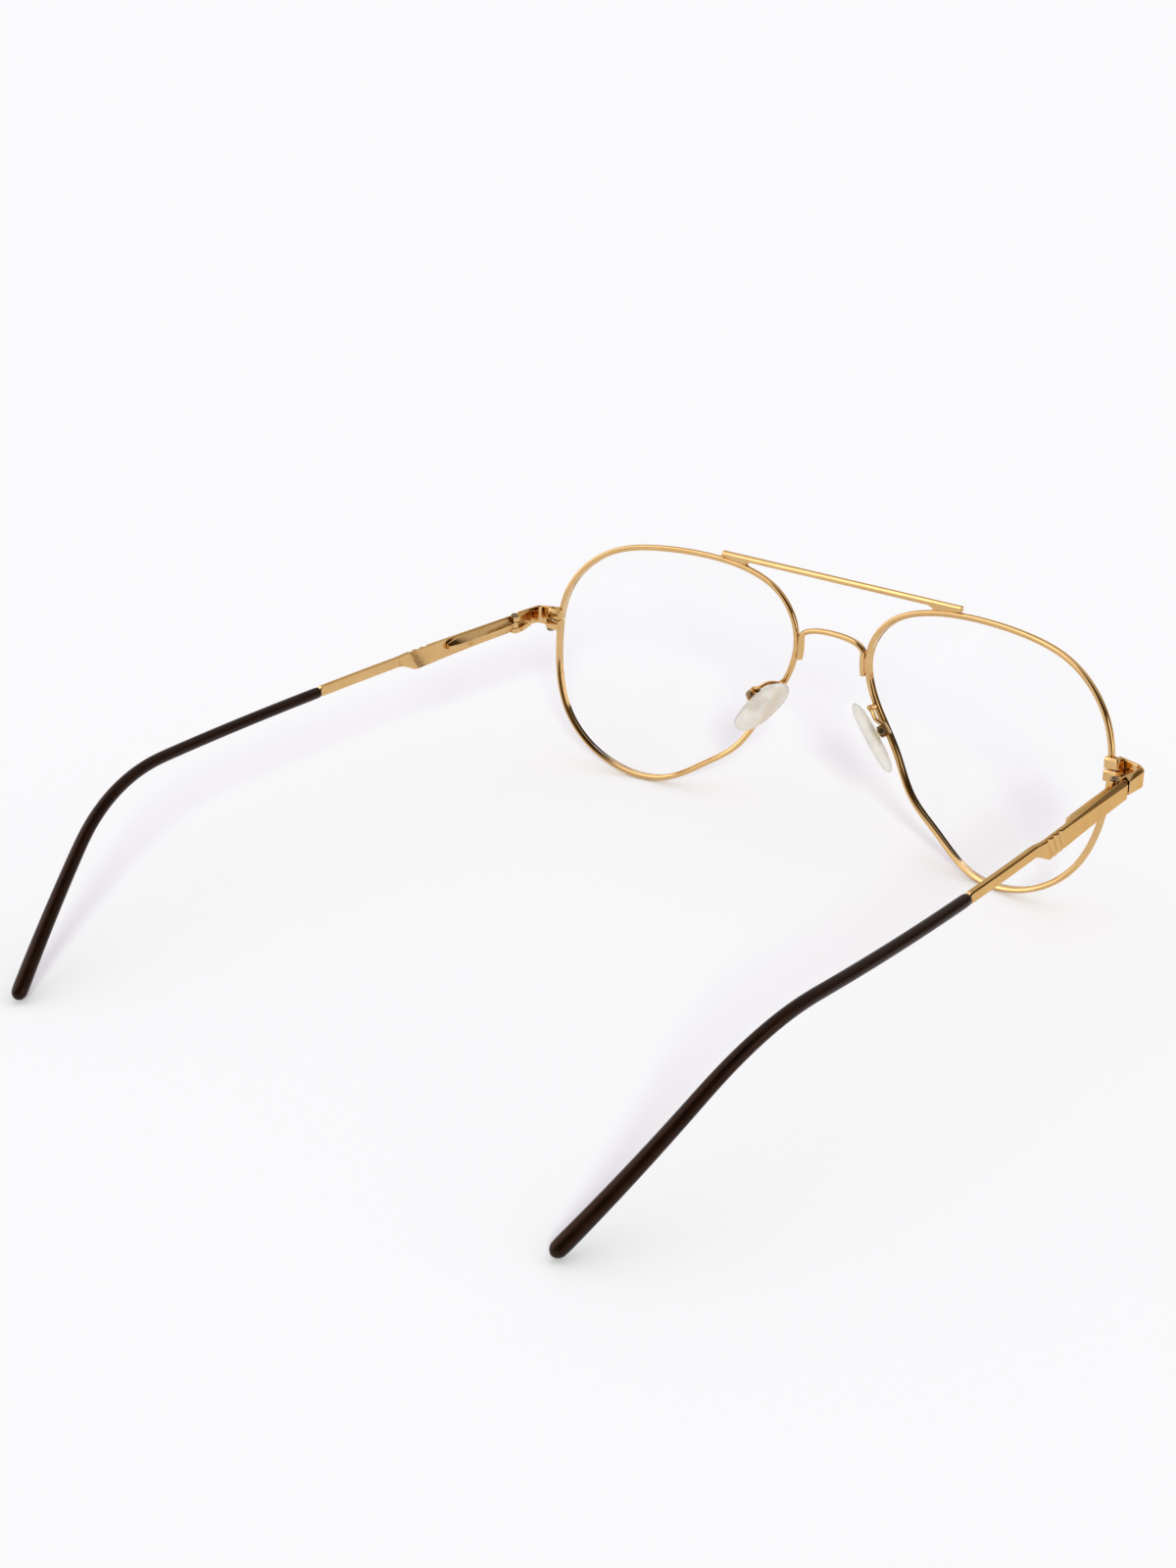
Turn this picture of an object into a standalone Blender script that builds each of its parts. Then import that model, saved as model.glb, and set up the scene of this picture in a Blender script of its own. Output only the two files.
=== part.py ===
"""Aviator eyeglasses: a wire front with two lenses, spring hinges, temples and nose pads.

Sizes are in millimetres and are turned to metres where a mesh is made.
The front looks towards -Y, the temples run back along +Y, and the wearer's left is +X.
Both sides are built from the left side's shapes, and the right one is its mirror image.
"""
import math

import bpy
import numpy as np
from mathutils import Vector

MM = 0.001
UP = Vector((0, 0, 1))

# Gaps: SEAT between soldered or screwed pieces, RUN between pieces that move
SEAT = 0.12
RUN = 0.15

# Front: lens shape and how the front is bent
RIM_WIDTH = 56.7
RIM_HEIGHT = 49.6
LENS_CENTRE_X = 37.3
LENS_CURVE_RADIUS = 92.5
WRAP = math.radians(6.0)
TILT = math.radians(7.1)
# The teardrop, as shares of half the width and height, from the outer point up and over to the nose
RIM_SHAPE = [
    (0.999, 0.0), (0.934, 0.503), (0.622, 0.859), (0.22, 0.976), (-0.163, 0.999),
    (-0.592, 0.951), (-0.855, 0.811), (-0.995, 0.526), (-0.949, 0.19), (-0.737, -0.222),
    (-0.566, -0.533), (-0.318, -0.754), (-0.009, -0.958), (0.466, -0.939), (0.868, -0.577),
]
RIM_STEPS = 72

# Rim wire, its lens groove and the lens
RIM_THICK = 1.2
RIM_DEPTH = 1.6
RIM_EDGE = 0.22
GROOVE_DEPTH = 0.45
GROOVE_WIDTH = 0.9
LENS_THICK = 1.5
LENS_GAP = 0.3
LENS_RINGS = 4

# Rim lock, which closes each rim round its lens
LOCK_DROP = 0.8
LOCK_HEIGHT = 4.4
LOCK_SPLIT = 0.3
LOCK_REACH = 2.6
LOCK_LIP = 0.5
LOCK_BACK = 2.0
LOCK_EDGE = 0.3
LOCK_SCREW_RADIUS = 0.4
LOCK_SCREW_HEAD_RADIUS = 0.72
LOCK_SCREW_HEAD_HEIGHT = 0.45

# End piece: the strap that carries the hinge
CORNER_X = 70.8
CORNER_Y = 4.6
CORNER_Z = 31.3
STRAP_THICK = 1.0
STRAP_FORWARD = 0.65
STRAP_CORNER_RADIUS = 1.5
STRAP_FACET = 0.3
STRAP_TOP = 1.7
STRAP_DROP = 1.7
STRAP_FLARE = 0.8

# Temple line: splay and slope from the corner, then the curve in and the bend down behind the ear
TEMPLE_SPLAY = math.radians(2.8)
TEMPLE_SLOPE = math.radians(1.55)
STRAIGHT_LENGTH = 32.0
BEND_AT = 115.7
DROP_LENGTH = 40.6
BEND_RADIUS = 36.0
TEMPLE_BOW = 6.4
TEMPLE_CURL = 6.7
TIP_TURN_IN = 0.114

# Temple plate, its taper and its narrow end
SEAM_AT = 5.9
SEAM_GAP = 0.7
PLATE_THICK = 1.0
PLATE_TOP = 1.05
PLATE_DROP = 2.6
STEP_AT = 39.6
STEP_LENGTH = 4.0
STEP_DROP = 3.1
BAR_OUT = 0.65
BAR_IN = 0.5
BAR_DROP = 0.95
PLATE_EDGE = 0.12
FACET_FRONT = 0.84
FACET_BACK = 0.24
FACET_LENGTH = 24.0
GRIP_GROOVES = 3
GRIP_PITCH = 2.0
GRIP_DEPTH = 0.45
GRIP_WIDTH = 1.4
GRIP_SLANT = 0.5
GRIP_LOW_SHARE = 0.3

# Temple tip
TIP_AT = 62.7
TIP_RADIUS = 1.15
TIP_END_RADIUS = 1.5
TIP_WALL = 0.45
CORE_END_COVER = 6.0

# Spring hinge
HINGE_AT = 8.1
HINGE_IN = 1.0
KNUCKLE_RADIUS = 0.85
HINGE_SCREW_RADIUS = 0.34
HINGE_DROP = 0.6
EYE_HEIGHT = 1.2
EAR_HEIGHT = 1.0
LEAF_THICK = 0.5
HINGE_RELIEF = 0.35
HINGE_HEAD_RADIUS = 0.75
HINGE_HEAD_HEIGHT = 0.4
BOX_LENGTH = 17.8
BOX_DEPTH = 1.75
BOX_TOP = 0.9
BOX_DROP = 1.75
BOX_UNDERCUT = 0.62
BOX_FLAT = 0.85
BOX_SLOPE_DROP = 1.05
BOX_TAPER = 2.4
BOX_END_SHARE = 0.45
BORE_RADIUS = 0.5
BORE_LENGTH = 12.5
ROD_RADIUS = 0.17
ROD_HEAD_LENGTH = 0.6
BUSH_LENGTH = 1.2
BUSH_DEPTH = 0.6
SPRING_WIRE_RADIUS = 0.08
SPRING_TURNS = 8
SPRING_LENGTH = 6.6
BOX_PIN_RADIUS = 0.17

# Bridge and brow bar
BRIDGE_THICK = 1.05
BRIDGE_DEPTH = 1.4
BRIDGE_FOOT = 33.3
BRIDGE_SPRING_LINE = 37.4
BRIDGE_RISE = 2.5
BROW_HALF_LENGTH = 28.0
BROW_HEIGHT = 1.05
BROW_DEPTH = 1.2
BROW_BEVEL = 0.4
BROW_FOOT_LENGTH = 5.6

# Nose pads, their inserts, boxes and arms
PAD_X = 13.37
PAD_Y = 2.23
PAD_Z = 22.85
PAD_SPLAY = math.radians(40.1)
PAD_LEAN = math.radians(3.9)
PAD_TURN = math.radians(30.5)
PAD_LENGTH = 15.4
PAD_WIDTH = 7.1
PAD_POCKET_LENGTH = 4.6
PAD_POCKET_WIDTH = 2.6
PAD_POCKET_FLOOR = 0.2
INSERT_THICK = 0.4
LUG_THICK = 1.1
LUG_HALF_LENGTH = 0.65
PAD_PIVOT_HEIGHT = 2.4
PAD_BOX_SIDE = 1.17
PAD_BOX_ALONG = -0.07
PAD_BOX_WALL = 0.45
PAD_BOX_HALF_LENGTH = 1.1
PAD_BOX_FOOT = 1.75
PAD_SCREW_RADIUS = 0.3
PAD_SCREW_HEAD_RADIUS = 0.72
PAD_SCREW_HEAD_HEIGHT = 0.45
PAD_ARM_RADIUS = 0.42
PAD_ARM_RISE = 27.5
PAD_ARM_STAND_OFF = 1.2
PAD_ARM_TURN_ALONG = -4.4
PAD_ARM_TURN_ACROSS = -0.3
PAD_ARM_NEAR_ALONG = -2.6
PAD_ARM_NEAR_ACROSS = 0.6
PAD_ARM_LOW = 0.05


# Finishes: colour, roughness, metallic, and how much light passes
GOLD = ((0.83, 0.60, 0.30, 1), 0.16, 1.0, 0.0)
PALE_GOLD = ((0.86, 0.66, 0.38, 1), 0.22, 1.0, 0.0)
STEEL = ((0.62, 0.60, 0.57, 1), 0.3, 1.0, 0.0)
DARK_TIP = ((0.022, 0.009, 0.005, 1), 0.16, 0.0, 0.0)
SILICONE = ((0.86, 0.83, 0.78, 1), 0.35, 0.0, 0.6)
CLEAR_LENS = ((0.96, 0.97, 0.97, 1), 0.02, 0.0, 1.0)
INSERT_PLASTIC = ((0.80, 0.74, 0.62, 1), 0.3, 0.0, 0.4)


def finish(name, look):
    """A Principled material for one piece."""
    colour, roughness, metallic, transmission = look
    material = bpy.data.materials.new(name + "_finish")
    material.use_nodes = True
    material.diffuse_color = colour
    shader = material.node_tree.nodes["Principled BSDF"]
    shader.inputs["Base Color"].default_value = colour
    shader.inputs["Roughness"].default_value = roughness
    shader.inputs["Metallic"].default_value = metallic
    shader.inputs["Transmission Weight"].default_value = transmission
    return material


def signed_volume(points, faces):
    """Positive when the faces point out."""
    total = 0.0
    for face in faces:
        a = points[face[0]]
        for i in range(1, len(face) - 1):
            total += a.dot(points[face[i]].cross(points[face[i + 1]]))
    return total / 6


def mesh_object(name, shape, side, look, pivot=None):
    """Make an object from a shape in millimetres, mirrored when side is -1."""
    points, faces = shape
    placed = [Vector((p.x * side, p.y, p.z)) for p in points]
    origin = Vector((0, 0, 0))
    if pivot is not None:
        origin = Vector((pivot.x * side, pivot.y, pivot.z))
    if signed_volume(placed, faces) < 0:
        faces = [tuple(reversed(face)) for face in faces]
    mesh = bpy.data.meshes.new(name)
    mesh.from_pydata([(p - origin) * MM for p in placed], [], faces)
    mesh.validate()
    mesh.shade_smooth()
    mesh.set_sharp_from_angle(angle=math.radians(32))
    body = bpy.data.objects.new(name, mesh)
    body.location = origin * MM
    bpy.context.scene.collection.objects.link(body)
    if look is not None:
        mesh.materials.append(finish(name, look))
    return body


def build(name, side, look, shapes, cuts=(), pivot=None):
    """One closed piece: the first shape, joined with the others, less the cuts."""
    body = mesh_object(name, shapes[0], side, look, pivot)
    operands = [("UNION", shape) for shape in shapes[1:]] + [("DIFFERENCE", shape) for shape in cuts]
    for number, (operation, shape) in enumerate(operands):
        tool = mesh_object(f"{name}_tool_{number}", shape, side, None, pivot)
        tool.hide_render = True
        tool.hide_set(True)
        tool.display_type = "WIRE"
        modifier = body.modifiers.new(f"{operation.lower()}_{number}", "BOOLEAN")
        modifier.operation = operation
        modifier.solver = "EXACT"
        modifier.object = tool
    return body


def loft(rings, closed=False):
    """Join rings of equal length with quads, and cap the ends unless they close on themselves."""
    count = len(rings[0])
    points = [p for ring in rings for p in ring]
    faces = []
    spans = len(rings) if closed else len(rings) - 1
    for i in range(spans):
        here = i * count
        there = ((i + 1) % len(rings)) * count
        for j in range(count):
            k = (j + 1) % count
            faces.append((here + j, here + k, there + k, there + j))
    if not closed:
        faces.append(tuple(range(count - 1, -1, -1)))
        last = (len(rings) - 1) * count
        faces.append(tuple(range(last, last + count)))
    return points, faces


def prism(outline, place, low, high):
    """Extrude a flat outline; place turns two outline values and a height into a point."""
    return loft([[place(a, b, level) for a, b in outline] for level in (low, high)])


def circle(centre, across, along, radius, sides):
    ring = []
    for i in range(sides):
        turn = 2 * math.pi * i / sides
        ring.append(centre + across * (radius * math.cos(turn)) + along * (radius * math.sin(turn)))
    return ring


def square_axes(direction):
    """Two unit vectors square to a direction and to each other."""
    direction = direction.normalized()
    helper = UP if abs(direction.z) < 0.9 else Vector((1, 0, 0))
    across = direction.cross(helper).normalized()
    return across, direction.cross(across).normalized()


def turned(start, direction, profile, sides):
    """A round solid whose profile lists (distance along the direction, radius)."""
    direction = direction.normalized()
    across, along = square_axes(direction)
    return loft([circle(start + direction * d, across, along, r, sides) for d, r in profile])


def rod(start, end, radius, sides=16):
    return turned(start, end - start, [(0, radius), ((end - start).length, radius)], sides)


def pipe(start, end, outer, inner, sides=16):
    """A round tube, open at both ends."""
    direction = (end - start).normalized()
    across, along = square_axes(direction)
    corners = ((start, inner), (end, inner), (end, outer), (start, outer))
    return loft([circle(centre, across, along, r, sides) for centre, r in corners], closed=True)


def smooth_path(knots, steps):
    """A smooth open curve through its knots, with even steps between each pair."""
    ends = [knots[0] * 2 - knots[1]] + list(knots) + [knots[-1] * 2 - knots[-2]]
    path = []
    for i in range(1, len(ends) - 2):
        p0, p1, p2, p3 = ends[i - 1:i + 3]
        for k in range(steps):
            t = k / steps
            path.append(0.5 * (2 * p1 + (p2 - p0) * t + (2 * p0 - 5 * p1 + 4 * p2 - p3) * t ** 2
                               + (3 * p1 - p0 - 3 * p2 + p3) * t ** 3))
    return path + [Vector(knots[-1])]


def swept(path, section, lean=None):
    """Sweep a section, given as (across, along lean), or as a radius, along a path."""
    rings = []
    across = None
    for i, point in enumerate(path):
        ahead = path[min(i + 1, len(path) - 1)]
        behind = path[max(i - 1, 0)]
        heading = (ahead - behind).normalized()
        if lean is not None:
            across = heading.cross(lean).normalized()
        elif across is None:
            across = square_axes(heading)[0]
        else:
            across = (across - heading * across.dot(heading)).normalized()
        along = across.cross(heading).normalized()
        rings.append([point + across * a + along * b for a, b in section])
    return loft(rings)


def round_section(radius, sides):
    return [(radius * math.cos(2 * math.pi * i / sides), radius * math.sin(2 * math.pi * i / sides))
            for i in range(sides)]


def eased_box(half_width, half_height, edge):
    """A rectangle with cut corners."""
    w, h = half_width, half_height
    return [(w, h - edge), (w - edge, h), (edge - w, h), (-w, h - edge),
            (-w, edge - h), (edge - w, -h), (w - edge, -h), (w, edge - h)]


def closed_curve(knots):
    """A closed cubic spline through its knots, as a function of 0 to 1."""
    points = np.array(knots + knots[:1])
    spans = np.linalg.norm(np.diff(points, axis=0), axis=1)
    places = np.concatenate([[0], np.cumsum(spans)])
    count = len(knots)
    matrix = np.zeros((count, count))
    target = np.zeros((count, 2))
    for i in range(count):
        before, after = spans[i - 1], spans[i]
        matrix[i, i - 1] += before
        matrix[i, i] += 2 * (before + after)
        matrix[i, (i + 1) % count] += after
        rise_after = (points[i + 1] - points[i]) / after
        rise_before = (points[i] - points[i - 1 if i else count - 1]) / before
        target[i] = 6 * (rise_after - rise_before)
    bends = np.linalg.solve(matrix, target)
    bends = np.vstack([bends, bends[:1]])

    def at(share):
        place = (share % 1.0) * places[-1]
        i = min(int(np.searchsorted(places, place, side="right")) - 1, count - 1)
        h = spans[i]
        a = (places[i + 1] - place) / h
        b = (place - places[i]) / h
        curve = a * points[i] + b * points[i + 1]
        return curve + ((a ** 3 - a) * bends[i] + (b ** 3 - b) * bends[i + 1]) * h * h / 6

    return at


RIM_CURVE = closed_curve([(a * RIM_WIDTH / 2, b * RIM_HEIGHT / 2) for a, b in RIM_SHAPE])


def rim_place(share):
    """A point of the rim's centre line in the lens plane, and its outward normal there."""
    here = RIM_CURVE(share)
    ahead = RIM_CURVE(share + 0.002)
    behind = RIM_CURVE(share - 0.002)
    run = ahead - behind
    run = run / np.linalg.norm(run)
    return here, np.array((run[1], -run[0]))


def bent(u, v, w, rise):
    """Lay the lens plane on its curve, wrap it, tilt it and lift it."""
    back = (u * u + v * v) / (2 * LENS_CURVE_RADIUS) + w
    x = u * math.cos(WRAP) - back * math.sin(WRAP)
    y = u * math.sin(WRAP) + back * math.cos(WRAP)
    up = v + rise
    return Vector((LENS_CENTRE_X + x,
                   y * math.cos(TILT) - up * math.sin(TILT),
                   up * math.cos(TILT) + y * math.sin(TILT)))


RIM_SECTION = [
    (RIM_THICK / 2 - RIM_EDGE, -RIM_DEPTH / 2), (RIM_THICK / 2, RIM_EDGE - RIM_DEPTH / 2),
    (RIM_THICK / 2, RIM_DEPTH / 2 - RIM_EDGE), (RIM_THICK / 2 - RIM_EDGE, RIM_DEPTH / 2),
    (-RIM_THICK / 2, RIM_DEPTH / 2), (-RIM_THICK / 2, GROOVE_WIDTH / 2),
    (GROOVE_DEPTH - RIM_THICK / 2, 0), (-RIM_THICK / 2, -GROOVE_WIDTH / 2),
    (-RIM_THICK / 2, -RIM_DEPTH / 2),
]


def lowest_rim_point():
    """How far the rim reaches below the lens centre, once bent and tilted."""
    low = 0.0
    for i in range(4 * RIM_STEPS):
        (u, v), (nu, nv) = rim_place(i / (4 * RIM_STEPS))
        for out, w in RIM_SECTION:
            low = min(low, bent(u + out * nu, v + out * nv, w, 0).z)
    return low


FRONT_RISE = -lowest_rim_point() / math.cos(TILT)


def front_point(u, v, w):
    """A point of the left front: u outward and v up from the lens centre, w back from its curve."""
    return bent(u, v, w, FRONT_RISE)


def rim_share_at(height, inner):
    """Where the rim's centre line passes a height, on its inner or its outer side."""
    best = None
    for i in range(2000):
        share = i / 2000
        here, normal = rim_place(share)
        if (normal[0] < 0) != inner or abs(normal[0]) < 0.2:
            continue
        miss = abs(front_point(here[0], here[1], 0).z - height)
        if best is None or miss < best[0]:
            best = (miss, share)
    return best[1]


def rim_offset(share, out, w=0.0):
    (u, v), (nu, nv) = rim_place(share)
    return front_point(u + out * nu, v + out * nv, w)


LOCK_Z = CORNER_Z - LOCK_DROP
LOCK_SHARE = rim_share_at(LOCK_Z, inner=False)
LOCK_ORIGIN = rim_offset(LOCK_SHARE, 0)
FRONT_OUT = Vector((math.cos(WRAP), math.sin(WRAP) * math.cos(TILT), math.sin(WRAP) * math.sin(TILT)))
FRONT_BACK = Vector((-math.sin(WRAP), math.cos(WRAP) * math.cos(TILT), math.cos(WRAP) * math.sin(TILT)))
FRONT_UP = Vector((0, -math.sin(TILT), math.cos(TILT)))


LOCK_NORMAL = rim_place(LOCK_SHARE)[1]
LOCK_OUT = FRONT_OUT * LOCK_NORMAL[0] + FRONT_UP * LOCK_NORMAL[1]
LOCK_UP = FRONT_UP * LOCK_NORMAL[0] - FRONT_OUT * LOCK_NORMAL[1]


def lock_point(out, back, up):
    return LOCK_ORIGIN + LOCK_OUT * out + FRONT_BACK * back + LOCK_UP * up


def side_profile(s, bend):
    """Distance back and height of the temple line before it is sloped."""
    arc = BEND_RADIUS * bend
    start = BEND_AT - arc / 2
    if s <= start:
        return s, 0.0
    if s <= start + arc:
        turn = (s - start) / BEND_RADIUS
        return start + BEND_RADIUS * math.sin(turn), -BEND_RADIUS * (1 - math.cos(turn))
    back = start + BEND_RADIUS * math.sin(bend)
    drop = -BEND_RADIUS * (1 - math.cos(bend))
    rest = s - start - arc
    return back + rest * math.cos(bend), drop - rest * math.sin(bend)


TEMPLE_LENGTH = BEND_AT + DROP_LENGTH


def temple_line(s, bend):
    """The left temple's centre line, s from the corner."""
    back, height = side_profile(s, bend)
    share = max(s - STRAIGHT_LENGTH, 0) / (TEMPLE_LENGTH - STRAIGHT_LENGTH)
    arc = BEND_RADIUS * bend
    into_bend = min(max(s - BEND_AT + arc / 2, 0), arc)
    turned_in = TIP_TURN_IN * (into_bend ** 2 / (2 * arc) + max(s - BEND_AT - arc / 2, 0))
    inward = TEMPLE_BOW * share ** 2 + TEMPLE_CURL * share ** 3 + turned_in
    run = back * math.cos(TEMPLE_SLOPE) + height * math.sin(TEMPLE_SLOPE)
    z = height * math.cos(TEMPLE_SLOPE) - back * math.sin(TEMPLE_SLOPE)
    x = run * math.sin(TEMPLE_SPLAY) - inward * math.cos(TEMPLE_SPLAY)
    y = run * math.cos(TEMPLE_SPLAY) + inward * math.sin(TEMPLE_SPLAY)
    return Vector((CORNER_X + x, CORNER_Y + y, CORNER_Z + z))


def bend_to_table():
    """The bend that lets the tip's round end rest on the table."""
    low, high = 0.2, 1.2
    for _ in range(40):
        middle = (low + high) / 2
        if temple_line(TEMPLE_LENGTH, middle).z > TIP_END_RADIUS:
            low = middle
        else:
            high = middle
    return middle


TEMPLE_BEND = bend_to_table()


def temple_frame(s):
    """Centre, heading, inward and upward directions of the left temple."""
    centre = temple_line(s, TEMPLE_BEND)
    heading = (temple_line(s + 0.05, TEMPLE_BEND) - temple_line(s - 0.05, TEMPLE_BEND)).normalized()
    inward = Vector((-heading.y, heading.x, 0)).normalized()
    return centre, heading, inward, heading.cross(inward).normalized()


def temple_point(s, inward, up):
    centre, _, into, rise = temple_frame(s)
    return centre + into * inward + rise * up


HINGE_CENTRE = temple_point(HINGE_AT, HINGE_IN, -HINGE_DROP)
_, TEMPLE_HEADING, TEMPLE_INWARD, _ = temple_frame(HINGE_AT)
LEVEL_HEADING = Vector((TEMPLE_HEADING.x, TEMPLE_HEADING.y, 0)).normalized()


def hinge_point(back, inward, up):
    """A point near the hinge, measured level from the middle of its axis."""
    return HINGE_CENTRE + LEVEL_HEADING * back + TEMPLE_INWARD * inward + UP * up


HINGE_HALF = EYE_HEIGHT / 2 + RUN + EAR_HEIGHT
HINGE_HOLE = HINGE_SCREW_RADIUS + SEAT


def rim_shape():
    """The grooved wire, from just above the lock's split round to just below it."""
    perimeter = sum(np.linalg.norm(RIM_CURVE((i + 1) / 400) - RIM_CURVE(i / 400)) for i in range(400))
    gap = LOCK_SPLIT / perimeter
    rings = []
    for i in range(RIM_STEPS + 1):
        share = LOCK_SHARE + gap / 2 + (1 - gap) * i / RIM_STEPS
        rings.append([rim_offset(share, out, w) for out, w in RIM_SECTION])
    return loft(rings)


def lens_shape():
    """A curved lens with a ridge that stands in the rim's groove."""
    flat_edge = -RIM_THICK / 2 - LENS_GAP
    ridge_top = flat_edge + GROOVE_DEPTH
    half = LENS_THICK / 2
    ridge = GROOVE_WIDTH / 2
    edge_rings = [(flat_edge, -half), (flat_edge, -ridge), (ridge_top, 0), (flat_edge, ridge), (flat_edge, half)]
    rings = []

    def shrunk(share_in, w):
        ring = []
        for i in range(RIM_STEPS):
            (u, v), (nu, nv) = rim_place(LOCK_SHARE + i / RIM_STEPS)
            ring.append(front_point((u + flat_edge * nu) * share_in, (v + flat_edge * nv) * share_in, w))
        return ring

    for k in range(1, LENS_RINGS):
        rings.append(shrunk(k / LENS_RINGS, -half))
    for out, w in edge_rings:
        rings.append([rim_offset(LOCK_SHARE + i / RIM_STEPS, out, w) for i in range(RIM_STEPS)])
    for k in range(LENS_RINGS - 1, 0, -1):
        rings.append(shrunk(k / LENS_RINGS, half))
    points, faces = loft(rings)
    faces = faces[:-2]
    for w, first, order in ((-half, 0, 1), (half, (len(rings) - 1) * RIM_STEPS, -1)):
        points.append(front_point(0, 0, w))
        middle = len(points) - 1
        for i in range(RIM_STEPS):
            pair = (first + i, first + (i + 1) % RIM_STEPS)
            faces.append((middle,) + pair[::-order])
    return points, faces


LOCK_SCREW_OUT = 1.6
LOCK_SCREW_BACK = LOCK_BACK - 0.75


def lock_shapes():
    """Upper and lower blocks, stepped round the back of the rim, and the hole through both."""
    clear_of_rim = RIM_THICK / 2 + SEAT
    behind_rim = RIM_DEPTH / 2 + 0.28
    front = STRAP_THICK / 2 - STRAP_FORWARD + SEAT
    outline = [
        (clear_of_rim, front), (LOCK_REACH, front), (LOCK_REACH, LOCK_BACK - LOCK_EDGE),
        (LOCK_REACH - LOCK_EDGE, LOCK_BACK), (LOCK_EDGE / 2 - LOCK_LIP, LOCK_BACK),
        (-LOCK_LIP, LOCK_BACK - LOCK_EDGE / 2), (-LOCK_LIP, behind_rim), (clear_of_rim, behind_rim),
    ]
    half = LOCK_HEIGHT / 2
    blocks = [prism(outline, lock_point, low, high)
              for low, high in ((LOCK_SPLIT / 2, half), (-half, -LOCK_SPLIT / 2))]
    hole = rod(lock_point(LOCK_SCREW_OUT, LOCK_SCREW_BACK, -half - 1),
               lock_point(LOCK_SCREW_OUT, LOCK_SCREW_BACK, half + 1), LOCK_SCREW_RADIUS + SEAT)
    return blocks, hole


def slotted_screw(start, direction, head_radius, head_height, gap, radius, length, sides=20):
    """A screw whose head begins at start; its shank leaves the head after a gap to what it clamps."""
    direction = direction.normalized()
    ease = head_height * 0.3
    body = turned(start, direction, [
        (0, head_radius - ease), (ease, head_radius), (head_height, head_radius),
        (head_height + gap * 0.5, radius), (length - ease, radius), (length, radius - ease * 0.6)], sides)
    across, along = square_axes(direction)
    half_slot = head_radius * 0.16
    deep = head_height * 0.45
    outline = [(-head_radius * 1.5, -half_slot), (head_radius * 1.5, -half_slot),
               (head_radius * 1.5, half_slot), (-head_radius * 1.5, half_slot)]
    slot = prism(outline, lambda a, b, c: start + across * a + along * b + direction * c, -1, deep)
    return body, slot


def strap_shape():
    """The end piece: out from the rim, round the corner and back to the temple's seam."""
    start = lock_point(RIM_THICK / 2 + 0.36, -STRAP_FORWARD, 0)
    rear_end = temple_point(SEAM_AT, STRAP_THICK / 2 - PLATE_THICK, 0)
    forward = -LEVEL_HEADING
    out = Vector((FRONT_OUT.x, FRONT_OUT.y, 0)).normalized()
    gap = start - rear_end
    turn = forward.cross(out).z
    reach = gap.cross(out).z / turn
    corner = Vector((rear_end.x, rear_end.y, 0)) + forward * reach
    bend = math.acos(max(-1, min(1, out.dot(-forward))))
    cut = STRAP_CORNER_RADIUS * math.tan(bend / 2)
    centre = corner - out * cut + Vector((-out.y, out.x, 0)) * STRAP_CORNER_RADIUS
    path = [Vector((start.x, start.y, 0))]
    corner_steps = 8
    for i in range(corner_steps + 1):
        angle = bend * i / corner_steps
        side = Vector((out.y, -out.x, 0)) * math.cos(angle) + out * math.sin(angle)
        path.append(centre + side * STRAP_CORNER_RADIUS)
    path.append(Vector((rear_end.x, rear_end.y, 0)))
    lengths = [0.0]
    for a, b in zip(path, path[1:]):
        lengths.append(lengths[-1] + (b - a).length)
    rings = []
    for i, point in enumerate(path):
        heading = (path[min(i + 1, len(path) - 1)] - path[max(i - 1, 0)]).normalized()
        across = heading.cross(UP)
        share = lengths[i] / lengths[-1]
        level = start.z + (rear_end.z - start.z) * share
        top = STRAP_TOP + STRAP_FLARE * (1 - share) ** 2
        drop = STRAP_DROP + 0.5 * STRAP_FLARE * (1 - share) ** 2
        lean = FRONT_UP.lerp(UP, min(1, 2 * share))
        half = STRAP_THICK / 2
        ease = PLATE_EDGE
        middle = Vector((point.x, point.y, level - 0.35))
        facet = STRAP_FACET + (FACET_FRONT - STRAP_FACET) * share
        corners = [(half, top - facet), (half - facet, top), (ease - half, top), (-half, top - ease),
                   (-half, ease - drop), (ease - half, -drop), (half - ease, -drop), (half, ease - drop)]
        rings.append([middle + across * a + lean * b for a, b in corners])
    return loft(rings)


def leaf_shapes():
    """The front leaf: a plate on the strap's inner face and two ears round the hinge axis."""
    plate_in = SEAT - HINGE_IN
    ear_in = RUN - HINGE_IN
    front = SEAM_AT - HINGE_AT - 3.2
    rear = SEAM_AT - HINGE_AT - 0.1
    plate = [(front, plate_in), (rear, plate_in),
             (rear, plate_in + LEAF_THICK), (front, plate_in + LEAF_THICK)]
    ear = [(front + 0.4, ear_in), (0, ear_in)]
    for i in range(1, 13):
        turn = math.pi * i / 12
        ear.append((KNUCKLE_RADIUS * math.sin(turn), -KNUCKLE_RADIUS * math.cos(turn)))
    ear += [(rear + 0.3, KNUCKLE_RADIUS * 0.7), (front + 0.4, plate_in + LEAF_THICK * 0.8)]
    low = EYE_HEIGHT / 2 + RUN
    shapes = [
        prism(plate, hinge_point, 0.1 - HINGE_HALF, HINGE_HALF - 0.1),
        prism(ear, hinge_point, low, HINGE_HALF),
        prism(ear, hinge_point, -HINGE_HALF, -low),
    ]
    hole = rod(hinge_point(0, 0, -HINGE_HALF - 1), hinge_point(0, 0, HINGE_HALF + 1), HINGE_HOLE)
    return shapes, hole


BOX_AT = HINGE_AT + KNUCKLE_RADIUS + 0.55
BOX_IN = 0.1
BUSH_AT = BOX_AT + BUSH_DEPTH
SPRING_AT = BUSH_AT + BUSH_LENGTH + 0.1
ROD_HEAD_AT = SPRING_AT + SPRING_LENGTH + 0.1


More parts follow.
